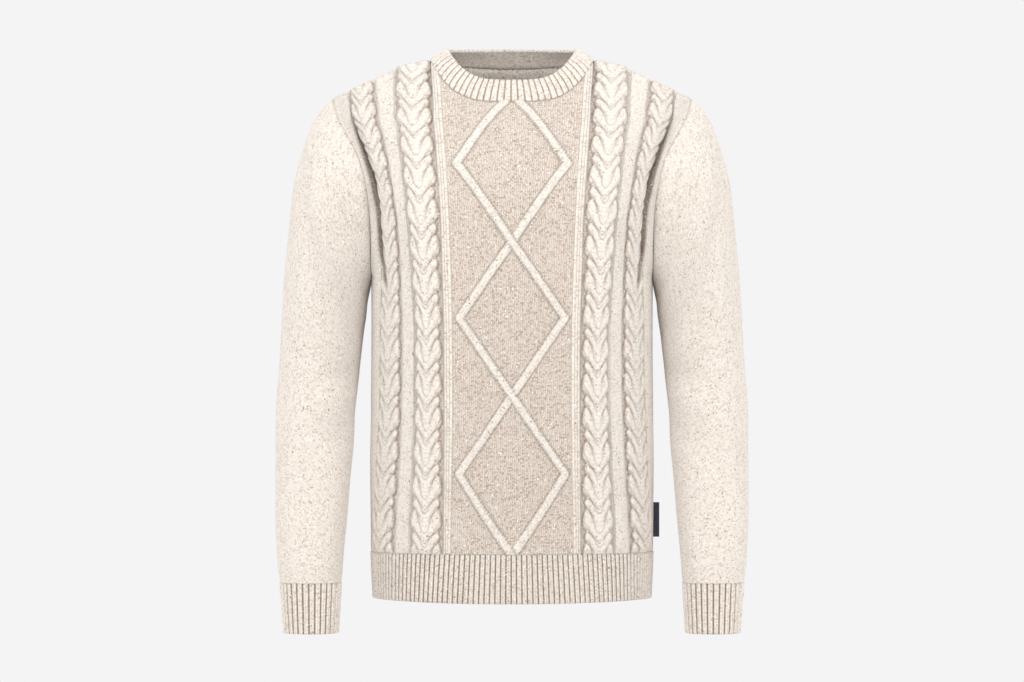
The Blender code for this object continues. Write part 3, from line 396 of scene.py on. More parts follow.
def smooth_waves(u, v, seed, size, count=5):
    """Gentle uneven swell of cloth between about -1 and 1."""
    draw = np.random.default_rng(seed)
    total = 0
    for _ in range(count):
        turn = draw.uniform(0, 2 * math.pi)
        length = size * draw.uniform(0.7, 1.6)
        shift = draw.uniform(0, 2 * math.pi)
        along = u * math.cos(turn) + v * math.sin(turn)
        total = total + np.sin(along / length * 2 * math.pi + shift)
    return total / count


# One half of a cable: how far out its edge lies below the tip of each repeat, and the
# grooves between its strands as place from the middle, place below the tip and depth
CABLE_EDGE = np.array([
    (0, 14.3), (3, 15.7), (8, 17.5), (14, 18.6), (20, 18.4), (25, 16.6),
    (28.3, 14.5), (31, 15.2), (35, 16.4), (38.5, 16.1), (40.8, 14.9), (42, 14.3)])
GROOVES = (
    np.array([(15.0, 0.0, 1.0), (11.4, 3.2, 1.0), (8.4, 7.6, 0.9), (6.2, 12.5, 0.6),
              (4.6, 18.0, 0.35), (3.4, 25.0, 0.0)]),
    np.array([(15.2, 27.9, 1.0), (12.3, 29.4, 1.0), (9.0, 32.2, 0.95), (6.0, 35.6, 0.85),
              (3.2, 39.2, 0.7), (0.9, 42.6, 0.5), (0.0, 46.0, 0.2), (0.0, 49.0, 0.0)]),
)

# Middle lines of its strands, as place from the middle and place below the tip
STRANDS = (
    [(13.5, 0.0), (14.0, 8.0), (12.6, 15.5), (9.6, 22.5), (5.6, 30.0), (1.6, 38.0), (0.2, 44.0)],
    [(14.0, 29.5), (12.4, 34.0), (9.0, 39.5), (6.0, 45.5), (3.6, 52.0), (1.6, 60.0), (0.4, 68.0)],
)


def along_line(path, x, s):
    """Signed distance from a bent line and place along it."""
    path = np.asarray(path, float)
    length = np.concatenate([[0], np.cumsum(np.linalg.norm(np.diff(path[:, :2], axis=0), axis=1))])
    best = np.full(x.shape, 1e9)
    signed = np.zeros(x.shape)
    place = np.zeros(x.shape)
    for k in range(len(path) - 1):
        start, end = path[k, :2], path[k + 1, :2]
        line = end - start
        share = np.clip(((x - start[0]) * line[0] + (s - start[1]) * line[1]) / (line @ line), 0, 1)
        dx = x - start[0] - share * line[0]
        ds = s - start[1] - share * line[1]
        gap = np.hypot(dx, ds)
        nearer = gap < best
        best = np.where(nearer, gap, best)
        signed = np.where(nearer, gap * np.sign(line[0] * ds - line[1] * dx), signed)
        place = np.where(nearer, length[k] + share * (length[k + 1] - length[k]), place)
    return signed, place, length


def cable_form(across, rise, cable):
    """Height, painted shade of its outline and grooves, stitch place and share of purl of a cable.
    """
    middle = (cable[0] + cable[1]) / 2
    x = np.abs(np.abs(across) - middle)
    below = (CABLE_FIRST - rise) % CABLE_REPEAT
    edge = monotone(CABLE_EDGE[:, 0], CABLE_EDGE[:, 1], below)
    inside = np.clip((edge - x) / 5.2, 0, 1)
    height = np.sqrt(np.clip(1 - (1 - inside) ** 2, 0, 1))
    height = height * (1 - 0.10 * np.exp(-(x / 2.2) ** 2))
    cut = np.zeros(x.shape)
    crown = np.zeros(x.shape)
    for groove in GROOVES:
        for repeat in (0, 1):
            signed, place, length = along_line(groove, x, below + repeat * CABLE_REPEAT)
            depth = np.interp(place, length, groove[:, 2])
            gap = np.abs(signed)
            cut = np.maximum(cut, depth * np.exp(-(gap / 0.85) ** 2))
            crown = np.maximum(crown, depth * np.exp(-(gap / 2.9) ** 1.6))
    height = height * (1 - 0.26 * crown - 0.34 * cut)
    # painted shade along the outline and in the grooves, darker on the side towards the garment's
    # middle as if lit from both far sides
    outline = np.exp(-(((x - edge - 0.35) / 0.95) ** 2))
    towards_middle = 0.5 - 0.5 * np.tanh((np.abs(across) - middle) / 3.0)
    painted_shade = np.maximum(outline * (0.5 + 0.5 * towards_middle), cut * (0.32 + 0.52 * towards_middle))
    wale, course = x / WALE, rise / COURSE
    nearest = np.full(x.shape, 4.6)
    for strand in STRANDS:
        for repeat in (0, 1):
            signed, place, _ = along_line(strand, x, below + repeat * CABLE_REPEAT)
            use = np.abs(signed) < nearest
            nearest = np.where(use, np.abs(signed), nearest)
            wale = np.where(use, signed / WALE + 0.5, wale)
            course = np.where(use, -place / COURSE, course)
    return CABLE_HEIGHT * height, painted_shade, wale, course, (x > edge + 0.2).astype(float)


def diamond_lines(chart, across, length):
    """For both zigzag lines: signed distance, place along the line and distance."""
    found = []
    for side in (-1, 1):
        corners = []
        for rise, share in DIAMONDS:
            u = side * share * DIAMOND_SIDE
            inside = min(max(rise, 0.0), PANEL_RISE)
            corners.append((u, float(chart.length([u], [inside])[0]) + 0.81 * (rise - inside)))
        signed, place, _ = along_line(corners, across, length)
        found.append((signed, place, np.abs(signed)))
    return found


def line_profile(distance):
    return np.clip(1 - (np.abs(distance) / LINE_HALF) ** 3.4, 0, 1) ** 0.8


def overlay(form, where, height=None, painted_shade=None, wale=None, course=None, purl=None):
    """The five measures, with the given ones put in where the mask holds."""
    given = (height, painted_shade, wale, course, purl)
    return [old if new is None else np.where(where, new, old) for old, new in zip(form, given)]


def middle_form(chart, across, rise, length):
    """The measures of the purl field with the two crossing lines on it."""
    (d_a, t_a, g_a), (d_b, t_b, g_b) = diamond_lines(chart, across, length)
    # the other line lies on top at each next crossing
    over_a = (np.floor((rise + 98) / 198).astype(int) % 2) == 0
    first = np.where(over_a, g_a, g_b)
    second = np.where(over_a, g_b, g_a)
    top = line_profile(first)
    under = line_profile(second) * np.where(first < LINE_CLEAR, 0.45, 1.0)
    level = np.maximum(top, under)
    near = np.minimum(first, np.where(first < LINE_CLEAR + 0.2, 99, second))
    use_a = np.where(over_a, top >= under, under > top)
    place = np.abs(across)
    zero = np.zeros(across.shape)
    form = (zero, zero, across / WALE, length / COURSE, (place < CORD[0] - 0.4).astype(float))
    in_middle = place < CORD[0] - 1
    # painted shade along the foot of each raised line
    form = overlay(form, in_middle, LINE_HEIGHT * level,
                   0.62 * np.exp(-(((near - LINE_HALF - 0.5) / 0.8) ** 2)))
    return overlay(form, in_middle & (level > 0.05), wale=np.where(use_a, d_a, d_b) / WALE,
                   course=np.where(use_a, t_a, t_b) / COURSE, purl=0.0)


def front_form(chart, across, rise):
    """Height, painted shade, wale, course and share of purl over the front."""
    place = np.abs(across)
    length = chart.length(across, rise)
    form = middle_form(chart, across, rise, length)
    # cord of three fine ribs beside the middle panel, with painted shade between its ribs and along
    # its edges
    inside = np.minimum(place - CORD[0], CORD[1] - place)
    ribs = 0.5 - 0.5 * np.cos((place - CORD[0]) / CORD_RIB * 2 * math.pi)
    form = overlay(
        form, (place > CORD[0] - 1) & (place < CORD[1] + 1),
        ease(-0.3, 1.3, inside) * (1.15 + 0.95 * ribs),
        0.50 * (1 - ribs) ** 2 * ease(0, 1, inside) + 0.45 * (1 - ease(-1, 0.6, inside)),
        (place - CORD[0]) / CORD_RIB)
    # purl ladder between the cord and the inner cable
    form = overlay(form, (place >= CORD[1] + 0.4) & (place < INNER_CABLE[0]), purl=1.0)
    for cable in (INNER_CABLE, OUTER_CABLE):
        middle = (cable[0] + cable[1]) / 2
        within = (place >= cable[0] - 1.2) & (place <= cable[1] + 1.2)
        levelled = rise + length - chart.length(np.sign(across) * middle, rise)
        form = overlay(form, within, *cable_form(across, levelled, cable))
    # plain strip between the cables, and the plain side, with painted shade along their edges by
    # the cables and painted light over the side
    inside = np.minimum(place - STRIP[0], STRIP[1] - place)
    form = overlay(
        form, inside > -1.2, STRIP_HEIGHT * ease(-1.0, 2.2, inside),
        0.85 * np.exp(-((inside + 0.6) / 0.8) ** 2), (place - STRIP[0]) / WALE,
        length / COURSE, 0.0)
    height, painted_shade, wale, course, purl = overlay(
        form, place > OUTER_CABLE[1] + 1.2,
        SIDE_HEIGHT * ease(SIDE_START - 2.5, SIDE_START + 3, place),
        0.8 * np.exp(-((place - SIDE_START + 1.6) / 0.9) ** 2),
        course=length / COURSE, purl=SIDE_PAINTED_LIGHT)
    fold = chart.sample(chart.fold[..., None], across, rise)[..., 0]
    # painted shade in the crease of the fold beside the armhole
    painted_shade = np.maximum(painted_shade, 0.95 * ease(0.7, 2.2, fold))
    # the pattern runs out level at the hem and at the side seams
    level = ease(0, 7, rise)
    height = height * level + SEAM_HEIGHT * (1 - level)
    height = height * (1 - ease(HALF_PANEL - 9, HALF_PANEL - 1, place))
    return height, painted_shade, wale, course, purl


def back_form(chart, across, rise):
    """The same measures over the back, which is plain."""
    height = BACK_HEIGHT * (1 - ease(HALF_PANEL - 9, HALF_PANEL - 1, np.abs(across)))
    course = chart.length(across, rise) / COURSE
    return height, 0 * across, across / WALE, course, 0 * across


def closed_band(fine, coarse, at_fine, at_coarse):
    """Triangles between a finely and a coarsely divided edge, by place along them."""
    faces = []
    i = j = 0
    while i < len(fine) - 1 or j < len(coarse) - 1:
        if i < len(fine) - 1 and (
                j == len(coarse) - 1 or at_fine[i + 1] <= at_coarse[j + 1] + 1e-9):
            faces.append((fine[i], fine[i + 1], coarse[j]))
            i += 1
        else:
            faces.append((fine[i], coarse[j + 1], coarse[j]))
            j += 1
    return faces


def grid_quads(rows, columns, start=0, round_rows=False, round_columns=False):
    i = np.arange(rows if round_rows else rows - 1)
    j = np.arange(columns if round_columns else columns - 1)
    i, j = np.meshgrid(i, j, indexing="ij")
    i2, j2 = (i + 1) % rows, (j + 1) % columns
    quads = np.stack([i * columns + j, i2 * columns + j, i2 * columns + j2, i * columns + j2], -1)
    return quads.reshape(-1, 4) + start


def new_object(name, data):
    item = bpy.data.objects.new(name, data)
    bpy.context.scene.collection.objects.link(item)
    return item


def add_piece(name, points, quads, triangles, stitch, painted_shade, material, nodes):
    """A mesh piece that rides on the frame and stands for its solid."""
    mesh = bpy.data.meshes.new(name)
    quads = np.asarray(quads, np.int64).reshape(-1, 4)
    triangles = np.asarray(triangles, np.int64).reshape(-1, 3)
    mesh.vertices.add(len(points))
    mesh.vertices.foreach_set("co", (np.asarray(points) * MM).astype(np.float32).ravel())
    corners = np.concatenate([quads.ravel(), triangles.ravel()])
    mesh.loops.add(len(corners))
    mesh.loops.foreach_set("vertex_index", corners.astype(np.int32))
    starts = np.concatenate([np.arange(len(quads)) * 4,
                             len(quads) * 4 + np.arange(len(triangles)) * 3])
    mesh.polygons.add(len(starts))
    mesh.polygons.foreach_set("loop_start", starts.astype(np.int32))
    mesh.update(calc_edges=True)
    mesh.validate()
    attribute = mesh.attributes.new("stitch", "FLOAT_VECTOR", "POINT")
    attribute.data.foreach_set("vector", np.asarray(stitch, np.float32).ravel())
    # painted shade per point, darker in grooves, creases and seams
    attribute = mesh.attributes.new("painted_shade", "FLOAT", "POINT")
    attribute.data.foreach_set("value", np.asarray(painted_shade, np.float32).ravel())
    mesh.shade_smooth()
    mesh.materials.append(material)
    piece = new_object(name, mesh)
    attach(piece, "root")
    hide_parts(*nodes)
    return piece


def fine_columns():
    """Places across the front, closest together over the cables."""
    half = np.concatenate([
        np.arange(0, 73, 2.2), np.arange(74, 88, 1.0), np.arange(88, 126, 1.12),
        np.arange(126.6, 152, 2.1), np.arange(152.6, 195, 1.15),
        np.arange(196, HALF_PANEL - 1, 2.6), [HALF_PANEL]])
    return np.concatenate([-half[:0:-1], half])


def panel_swell(chart, u, v):
    """Uneven swell of a panel, which fades towards its seams."""
    seed, height = BACK_SWELL if chart.back else FRONT_SWELL
    swell = smooth_waves(u, v, seed, SWELL_LENGTH) * height
    fade = (1 - ease(HALF_PANEL - 22, HALF_PANEL, np.abs(u))) * ease(0, 30, v)
    return swell * fade * (1 - ease(PANEL_RISE - 30, PANEL_RISE, v))


def shell_quads(shape, inner_shape, around=False):
    """Quads of a shell's outer and inner grid, and the numbers of each grid's points."""
    start = shape[0] * shape[1]
    inner_quads = grid_quads(*inner_shape, start, round_columns=around)[:, ::-1]
    quads = np.concatenate([grid_quads(*shape, round_columns=around), inner_quads])
    inner_at = start + np.arange(inner_shape[0] * inner_shape[1]).reshape(inner_shape)
    return quads, np.arange(start).reshape(shape), inner_at


def rim_triangles(bands):
    """Triangles that close a shell's open edges, turned or not."""
    rim = []
    for fine, coarse, at_fine, at_coarse, turned in bands:
        faces = closed_band(fine, coarse, at_fine, at_coarse)
        rim += [(a, c, b) if turned else (a, b, c) for a, b, c in faces]
    return np.array(rim)


def layer(points, wale, course, purl, painted_shade):
    """Points, stitch places and painted shade of a grid, row after row."""
    stitch = np.stack(np.broadcast_arrays(wale, course, purl), -1)
    return points.reshape(-1, 3), stitch.reshape(-1, 3), np.broadcast_to(painted_shade, wale.shape).ravel()


def add_shell(name, layers, quads, rim, turned, material):
    points, stitch, painted_shade = (np.concatenate(part) for part in zip(*layers))
    if turned:
        quads, rim = quads[:, ::-1], rim[:, ::-1]
    return add_piece(name, points, quads, rim, stitch, painted_shade, material, [name])


def make_panel(name, chart, form, us, rows, material):
    """One body panel as a closed shell, coarser on its inner side."""
    vs = np.linspace(0, PANEL_RISE, rows)
    u, v = np.meshgrid(us, vs, indexing="ij")
    height, painted_shade, wale, course, purl = form(chart, u, v)
    height = height + panel_swell(chart, u, v)
    outer = chart.points(u, v) + chart.outward(u, v) * height[..., None]
    inner_us, inner_vs = np.linspace(-HALF_PANEL, HALF_PANEL, 81), np.linspace(0, PANEL_RISE, 91)
    iu, iv = np.meshgrid(inner_us, inner_vs, indexing="ij")
    inward = panel_swell(chart, iu, iv) - WALL
    inner = chart.points(iu, iv) + chart.outward(iu, iv) * inward[..., None]
    quads, outer_at, inner_at = shell_quads(u.shape, iu.shape)
    rim = rim_triangles((
        (outer_at[:, 0], inner_at[:, 0], us, inner_us, True),
        (outer_at[-1], inner_at[-1], vs, inner_vs, True),
        (outer_at[:, -1], inner_at[:, -1], us, inner_us, False),
        (outer_at[0], inner_at[0], vs, inner_vs, False)))
    layers = (layer(outer, wale, course, purl, painted_shade),
              layer(inner, iu / WALE, iv / COURSE, INSIDE_PURL_LIGHTENED, 0.0))
    return add_shell(name, layers, quads, rim, chart.back, material)


def sleeve_oval(ring, angle):
    rings = np.arange(len(SLEEVE))
    outer_x, outer_z, inner_x, inner_z, centre_y, half_depth = (
        monotone(rings, SLEEVE[:, k], ring) for k in range(6))
    middle_x, middle_z = (outer_x + inner_x) / 2, (outer_z + inner_z) / 2
    reach_x, reach_z = (outer_x - inner_x) / 2, (outer_z - inner_z) / 2
    return np.stack([middle_x + reach_x * np.cos(angle), centre_y - half_depth * np.sin(angle),
                     middle_z + reach_z * np.cos(angle)], axis=-1)


def sleeve_surface(charts, ring, angle):
    """Points of the left sleeve, which starts as the armhole's own outline."""
    rise = STRAIGHT_RISE + SHAPED_RISE * (0.5 + 0.5 * np.cos(angle))
    edge = np.full(angle.shape, -HALF_PANEL)
    front = charts["front"].points(edge, rise)
    back = charts["back"].points(edge, rise)
    outline = np.where((np.sin(angle) >= 0)[..., None], front, back)
    start = sleeve_oval(np.zeros(angle.shape), angle)
    fade = (1 - ease(0, 3.0, ring))[..., None]
    return sleeve_oval(ring, angle) + (outline - start) * fade


def sleeve_fold_depth(ring, angle):
    """How far the folds lift the sleeve, or press it in where negative."""
    total = np.zeros(ring.shape)
    degrees = np.degrees(angle)
    for at_ring, at_angle, depth, half_rings, half_angle, slant in SLEEVE_FOLDS:
        across = (degrees - at_angle + 180) % 360 - 180
        along = ring - at_ring - slant * across
        total += depth * np.exp(-(along / half_rings) ** 2 - (across / half_angle) ** 2)
    return total * ease(0.5, 2.0, ring)


def tube_normals(grid):
    around = np.roll(grid, -1, axis=1) - np.roll(grid, 1, axis=1)
    down = np.gradient(grid, axis=0)
    normal = unit(np.cross(down, around))
    middle = grid.mean(axis=1, keepdims=True)
    inward = np.sum(normal * (grid - middle)) < 0
    return -normal if inward else normal


def make_sleeve(name, charts, mirror, material):
    """A sleeve as a closed shell from the armhole seam to the cuff seam."""
    layers, shapes, turns = [], [], []
    for rows, count, outside in ((262, 168, True), (90, 60, False)):
        rings = np.linspace(0, len(SLEEVE) - 1, rows)
        angles = np.linspace(0, 2 * math.pi, count, endpoint=False)
        ring, angle = np.meshgrid(rings, angles, indexing="ij")
        base = sleeve_surface(charts, ring, angle)
        lift = sleeve_fold_depth(ring, angle)
        swell = smooth_waves(ring * 55, 60 * np.sin(angle), 11, 130.0)
        lift = lift + 1.3 * swell * ease(0.8, 2.5, ring) * (1 - ease(9.5, 10.8, ring))
        lift = lift + (ease(0, 0.35, ring) if outside else -WALL)
        grid = base + tube_normals(base) * lift[..., None]
        around = np.linalg.norm(np.diff(grid, axis=1, append=grid[:, :1]), axis=-1)
        arc = np.concatenate([np.zeros((rows, 1)), np.cumsum(around, axis=1)[:, :-1]], axis=1)
        total = around.sum(axis=1, keepdims=True)
        wale = np.where(arc > total / 2, arc - total, arc) / WALE
        down = np.linalg.norm(np.diff(grid, axis=0), axis=-1).mean(axis=1)
        course = -np.concatenate([[0], np.cumsum(down)])[:, None] / COURSE
        # painted shade in the crease where the sleeve meets the body
        painted_shade = 0.5 * (1 - ease(0, 0.12, ring)) if outside else 0.0
        purl = SLEEVE_PAINTED_SHADE if outside else INSIDE_PURL_LIGHTENED
        grid = grid * np.array([-1 if mirror else 1, 1, 1])
        layers.append(layer(grid, wale, course, purl, painted_shade))
        shapes.append((rows, count))
        turns.append(np.append(angles, 2 * math.pi))
    quads, outer_at, inner_at = shell_quads(*shapes, around=True)
    bands = [(np.append(outer_at[end], outer_at[end, 0]),
              np.append(inner_at[end], inner_at[end, 0]), *turns, turned)
             for end, turned in ((0, False), (-1, True))]
    return add_shell(name, layers, quads, rim_triangles(bands), mirror, material)


def rib_form(phase):
    """Height, painted shade in the purl groove and between the knit wales, wale and purl share
    across one rib of two knit wales and one purl.
    """
    t = phase % 1.0
    knit = ease(-0.02, 0.12, t) * (1 - ease(KNIT_SHARE - 0.12, KNIT_SHARE + 0.02, t))
    wales = np.abs(np.sin(t / KNIT_SHARE * 2 * math.pi)) ** 0.7
    height = knit * (0.74 + 0.26 * wales)
    groove = np.exp(-(((t - (1 + KNIT_SHARE) / 2) / 0.115) ** 2))
    between = np.exp(-(((t - KNIT_SHARE / 2) / 0.05) ** 2))
    painted_shade = 1.25 * groove + 0.42 * between
    wale = np.where(t < KNIT_SHARE, 2 * t / KNIT_SHARE, 2 + (t - KNIT_SHARE) / (1 - KNIT_SHARE))
    return RIB_HEIGHT * height, painted_shade, np.floor(phase) * 3 + wale, (t > KNIT_SHARE).astype(float)


def ribbed_band(name, nodes, surface, ribs, per_rib, profile, shade_contrast, material):
    """A ribbed tube. surface(turn, place) gives middle points and outward directions, and
    profile lists place along the band, share of the wall, and share of the rib height."""
    count = ribs * per_rib
    turn = np.arange(count) / count
    height, painted_shade, wale, purl = rib_form(turn * ribs)
    rows, stitches, painted_shades = [], [], []
    flank = np.clip(1 - 2 * np.abs(height / RIB_HEIGHT - 0.5), 0, 1)
    travelled = 0.0
    for place, wall, rib in profile:
        base, out = surface(turn, place)
        inside = rib < 0
        lift = wall + rib * (RIB_HEIGHT - height if inside else height)
        row = base + out * lift[:, None]
        if rows:
            travelled += float(np.linalg.norm(row - rows[-1], axis=1).mean())
        rows.append(row)
        # the inside is purl, kept at part share so it reads lighter: partly painted light
        stitches.append(np.stack([wale, np.full(count, travelled / COURSE),
                                  0.3 + 0 * purl if inside else purl], -1))
        # painted shade: on the inside along the ribs' flanks, outside in the rib grooves
        painted_shades.append(0.2 * flank if inside else painted_shade * shade_contrast)
    points = np.concatenate(rows)
    quads = grid_quads(len(profile), count, 0, round_rows=True, round_columns=True)
    middle = np.concatenate([r.mean(axis=0, keepdims=True) for r in rows])
    first = quads[count * 2]
    normal = np.cross(points[first[1]] - points[first[0]], points[first[3]] - points[first[0]])
    if normal @ (points[first[0]] - middle[2]) < 0:
        quads = quads[:, ::-1]
    return add_piece(name, points, quads, [], np.concatenate(stitches), np.concatenate(painted_shades),
                     material, nodes)


def band_profile(rows, wall):
    """Places round a band's wall: up the outside, over the free edge and down the inside."""
    profile = [(place, wall / 2, 1.0) for place in np.linspace(0, 0.965, rows)]
    profile += [(0.992, wall * 0.36, 0.75), (1.0, 0.0, 0.28)]
    profile += [(0.992, -wall * 0.36, -0.2), (0.965, -wall / 2, -0.45)]
    profile += [(place, -wall / 2, -0.45) for place in np.linspace(0.93, 0, max(3, rows // 2))]
    return profile


def make_collar(material):
    def middle(turn, place):
        angle = 2 * math.pi * turn
        low, high = neck_seam(angle), neck_edge(angle)
        out = unit(np.stack([np.sin(angle), -np.cos(angle), 0.35 + 0 * angle], axis=-1))
        return low * (1 - place) + high * place + out * (1.6 * math.sin(math.pi * place))

    def surface(turn, place):
        around = middle(turn + 1e-3, place) - middle(turn - 1e-3, place)
        up = middle(turn, place + 0.05) - middle(turn, place - 0.05)
        out = unit(np.cross(around, up))
        return middle(turn, place) - out * 1.0, out

    return ribbed_band("neck_rib", ["neck_rib"], surface, 72, 10, band_profile(14, 2.6), 0.72,
                       material)


def make_hem(material):
    def surface(turn, place):
        angle = 2 * math.pi * turn
        angle = angle + (0.035 * (place - 0.4) - 0.06) * np.sin(2 * angle)
        height = HEM_SEAM + (HEM_EDGE - HEM_SEAM) * place
        half_width = float(table(BODY, 1, height))
        front, back = float(table(BODY, 2, height)), float(table(BODY, 3, height))
        depth = np.where(np.cos(angle) > 0, front, back)
        x = half_width * np.sin(angle)
        y = -depth * np.cos(angle)
        out = unit(np.stack([x / half_width**2, y / depth**2, 0 * x], axis=-1))
        dip = HEM_DIP * place * np.clip(np.cos(angle), 0, 1) ** 2
        base = np.stack([x, y, height - dip], axis=-1)
        return base - out * 1.1, out

    return ribbed_band("hem_rib", ["hem_rib_front", "hem_rib_back"], surface, 148, 9,
                       band_profile(16, 2.4), 1.0, material)


def make_cuff(name, side, material):
    # middle x and y, half width and half depth at the seam and at the free edge
    top = (249.9, -38.0, 36.9, 35.6)
    bottom = (249.6, -40.0, 33.0, 32.0)

    def surface(turn, place):
        angle = 2 * math.pi * turn
        x0, y0, wide, deep = (a * (1 - place) + b * place for a, b in zip(top, bottom))
        z = CUFF_SEAM + (CUFF_EDGE - CUFF_SEAM) * place
        x, y = wide * np.sin(angle), -deep * np.cos(angle)
        out = unit(np.stack([x / wide**2, y / deep**2, 0 * x], axis=-1))
        return np.stack([side * x0 + x, y0 + y, np.full_like(x, z)], axis=-1) - out * 1.1, out

    return ribbed_band(name, [name], surface, 30, 12, band_profile(18, 2.4), 0.95, material)


def make_label(material):
    """A plain ribbon sewn into the side seam, folded on itself at its free edge."""
    root, reach, gap, wall = 175.6, 7.9, 0.34, 0.22
    steps = np.linspace(0, 1, 9)
    turn = np.linspace(-math.pi / 2, math.pi / 2, 7)[1:-1]
    path_x = np.concatenate([steps, 1 + gap / reach * np.cos(turn), steps[::-1]])
    path_y = np.concatenate([0 * steps - gap, gap * np.sin(turn), 0 * steps + gap])
    along = unit(np.gradient(np.stack([path_x * reach, path_y], -1), axis=0))
    side = np.stack([along[:, 1], -along[:, 0]], -1)
    rows, low_edge, high_edge = 24, -595.6, -552.4
    z = np.linspace(low_edge, high_edge, rows)
    faces = []
    for wall_side in (1, -1):
        xx = np.repeat((root + path_x * reach + wall_side * wall * side[:, 0])[:, None], rows, 1)
        zz = np.repeat(z[None], len(path_x), 0)
        out = (xx - root) / reach
        bend = -1.3 * out**2 * (0.75 + 0.25 * np.sin((zz + 574) / 43 * 2.4))
        yy = (path_y + wall_side * wall * side[:, 1])[:, None] + bend
        faces.append(np.stack([xx, yy, zz], -1).reshape(-1, 3))
    columns = len(path_x)
    start = columns * rows
    at = np.arange(start).reshape(columns, rows)
    loop = np.concatenate([at[:, 0], at[-1, 1:], at[-2::-1, -1], at[0, -2:0:-1]])
    after = np.roll(loop, -1)
    rim = np.stack([loop, loop + start, after + start, after], -1)
    inner_quads = grid_quads(columns, rows, start)[:, ::-1]
    quads = np.concatenate([grid_quads(columns, rows), inner_quads, rim])
    points = np.concatenate(faces)
    stitch = np.stack([points[:, 0], points[:, 2], 0 * points[:, 0]], -1)
    return add_piece("side_label", points, quads, [], stitch, 0 * points[:, 0], material,
                     ["side_label"])


class Nodes:
    """Short way to build a material's node tree."""

    def __init__(self, name):
        self.material = bpy.data.materials.new(name)
        self.material.use_nodes = True
        self.tree = self.material.node_tree
        self.shader = self.tree.nodes["Principled BSDF"]

    def add(self, kind, inputs=(), **settings):
        node = self.tree.nodes.new(kind)
        for key, value in settings.items():
            setattr(node, key, value)
        for key, value in dict(inputs).items():
            self.put(value, node.inputs[key])
        return node

    def put(self, value, socket):
        if isinstance(value, bpy.types.NodeSocket):
            self.tree.links.new(value, socket)
        else:
            socket.default_value = value

    def math(self, operation, a, b=0.0, c=0.0):
        return self.add("ShaderNodeMath", {0: a, 1: b, 2: c}, operation=operation).outputs[0]

    def scale(self, value, low, high, to_low=0.0, to_high=1.0):
        return self.add("ShaderNodeMapRange", {0: value, 1: low, 2: high, 3: to_low, 4: to_high},
                        interpolation_type="SMOOTHSTEP").outputs[0]

    def mix(self, share, a, b):
        node = self.add("ShaderNodeMix", data_type="RGBA")
        self.put(share, node.inputs[0])
        self.put(a, node.inputs[6])
        self.put(b, node.inputs[7])
        return node.outputs[2]

    def noise(self, scale, detail=2.0, where=None, roughness=0.5):
        node = self.add("ShaderNodeTexNoise", {"Scale": scale, "Detail": detail,
                                               "Roughness": roughness})
        if where is not None:
            self.put(where, node.inputs["Vector"])
        return node.outputs[0]

    def bump(self, height, strength, distance):
        node = self.add("ShaderNodeBump", {"Strength": strength, "Distance": distance})
        self.put(height, node.inputs["Height"])
        self.put(node.outputs[0], self.shader.inputs["Normal"])


CREAM = (0.935, 0.885, 0.825, 1.0)
OAT = (0.800, 0.725, 0.640, 1.0)
# darker fibre of the yarn, also used for the painted shade between the stitches
DARK_FIBRE_AND_SHADE = (0.290, 0.200, 0.140, 1.0)
# deep brown of the painted shade in grooves and creases
GROOVE_SHADOW = (0.190, 0.120, 0.070, 1.0)
FLECK = (0.335, 0.190, 0.105, 1.0)
PALE_FLECK = (0.96, 0.94, 0.91, 1.0)
NAVY = (0.012, 0.011, 0.028, 1.0)
PALE_NAVY = (0.045, 0.040, 0.085, 1.0)
FLOOR_GREY = (0.74, 0.74, 0.74, 1.0)


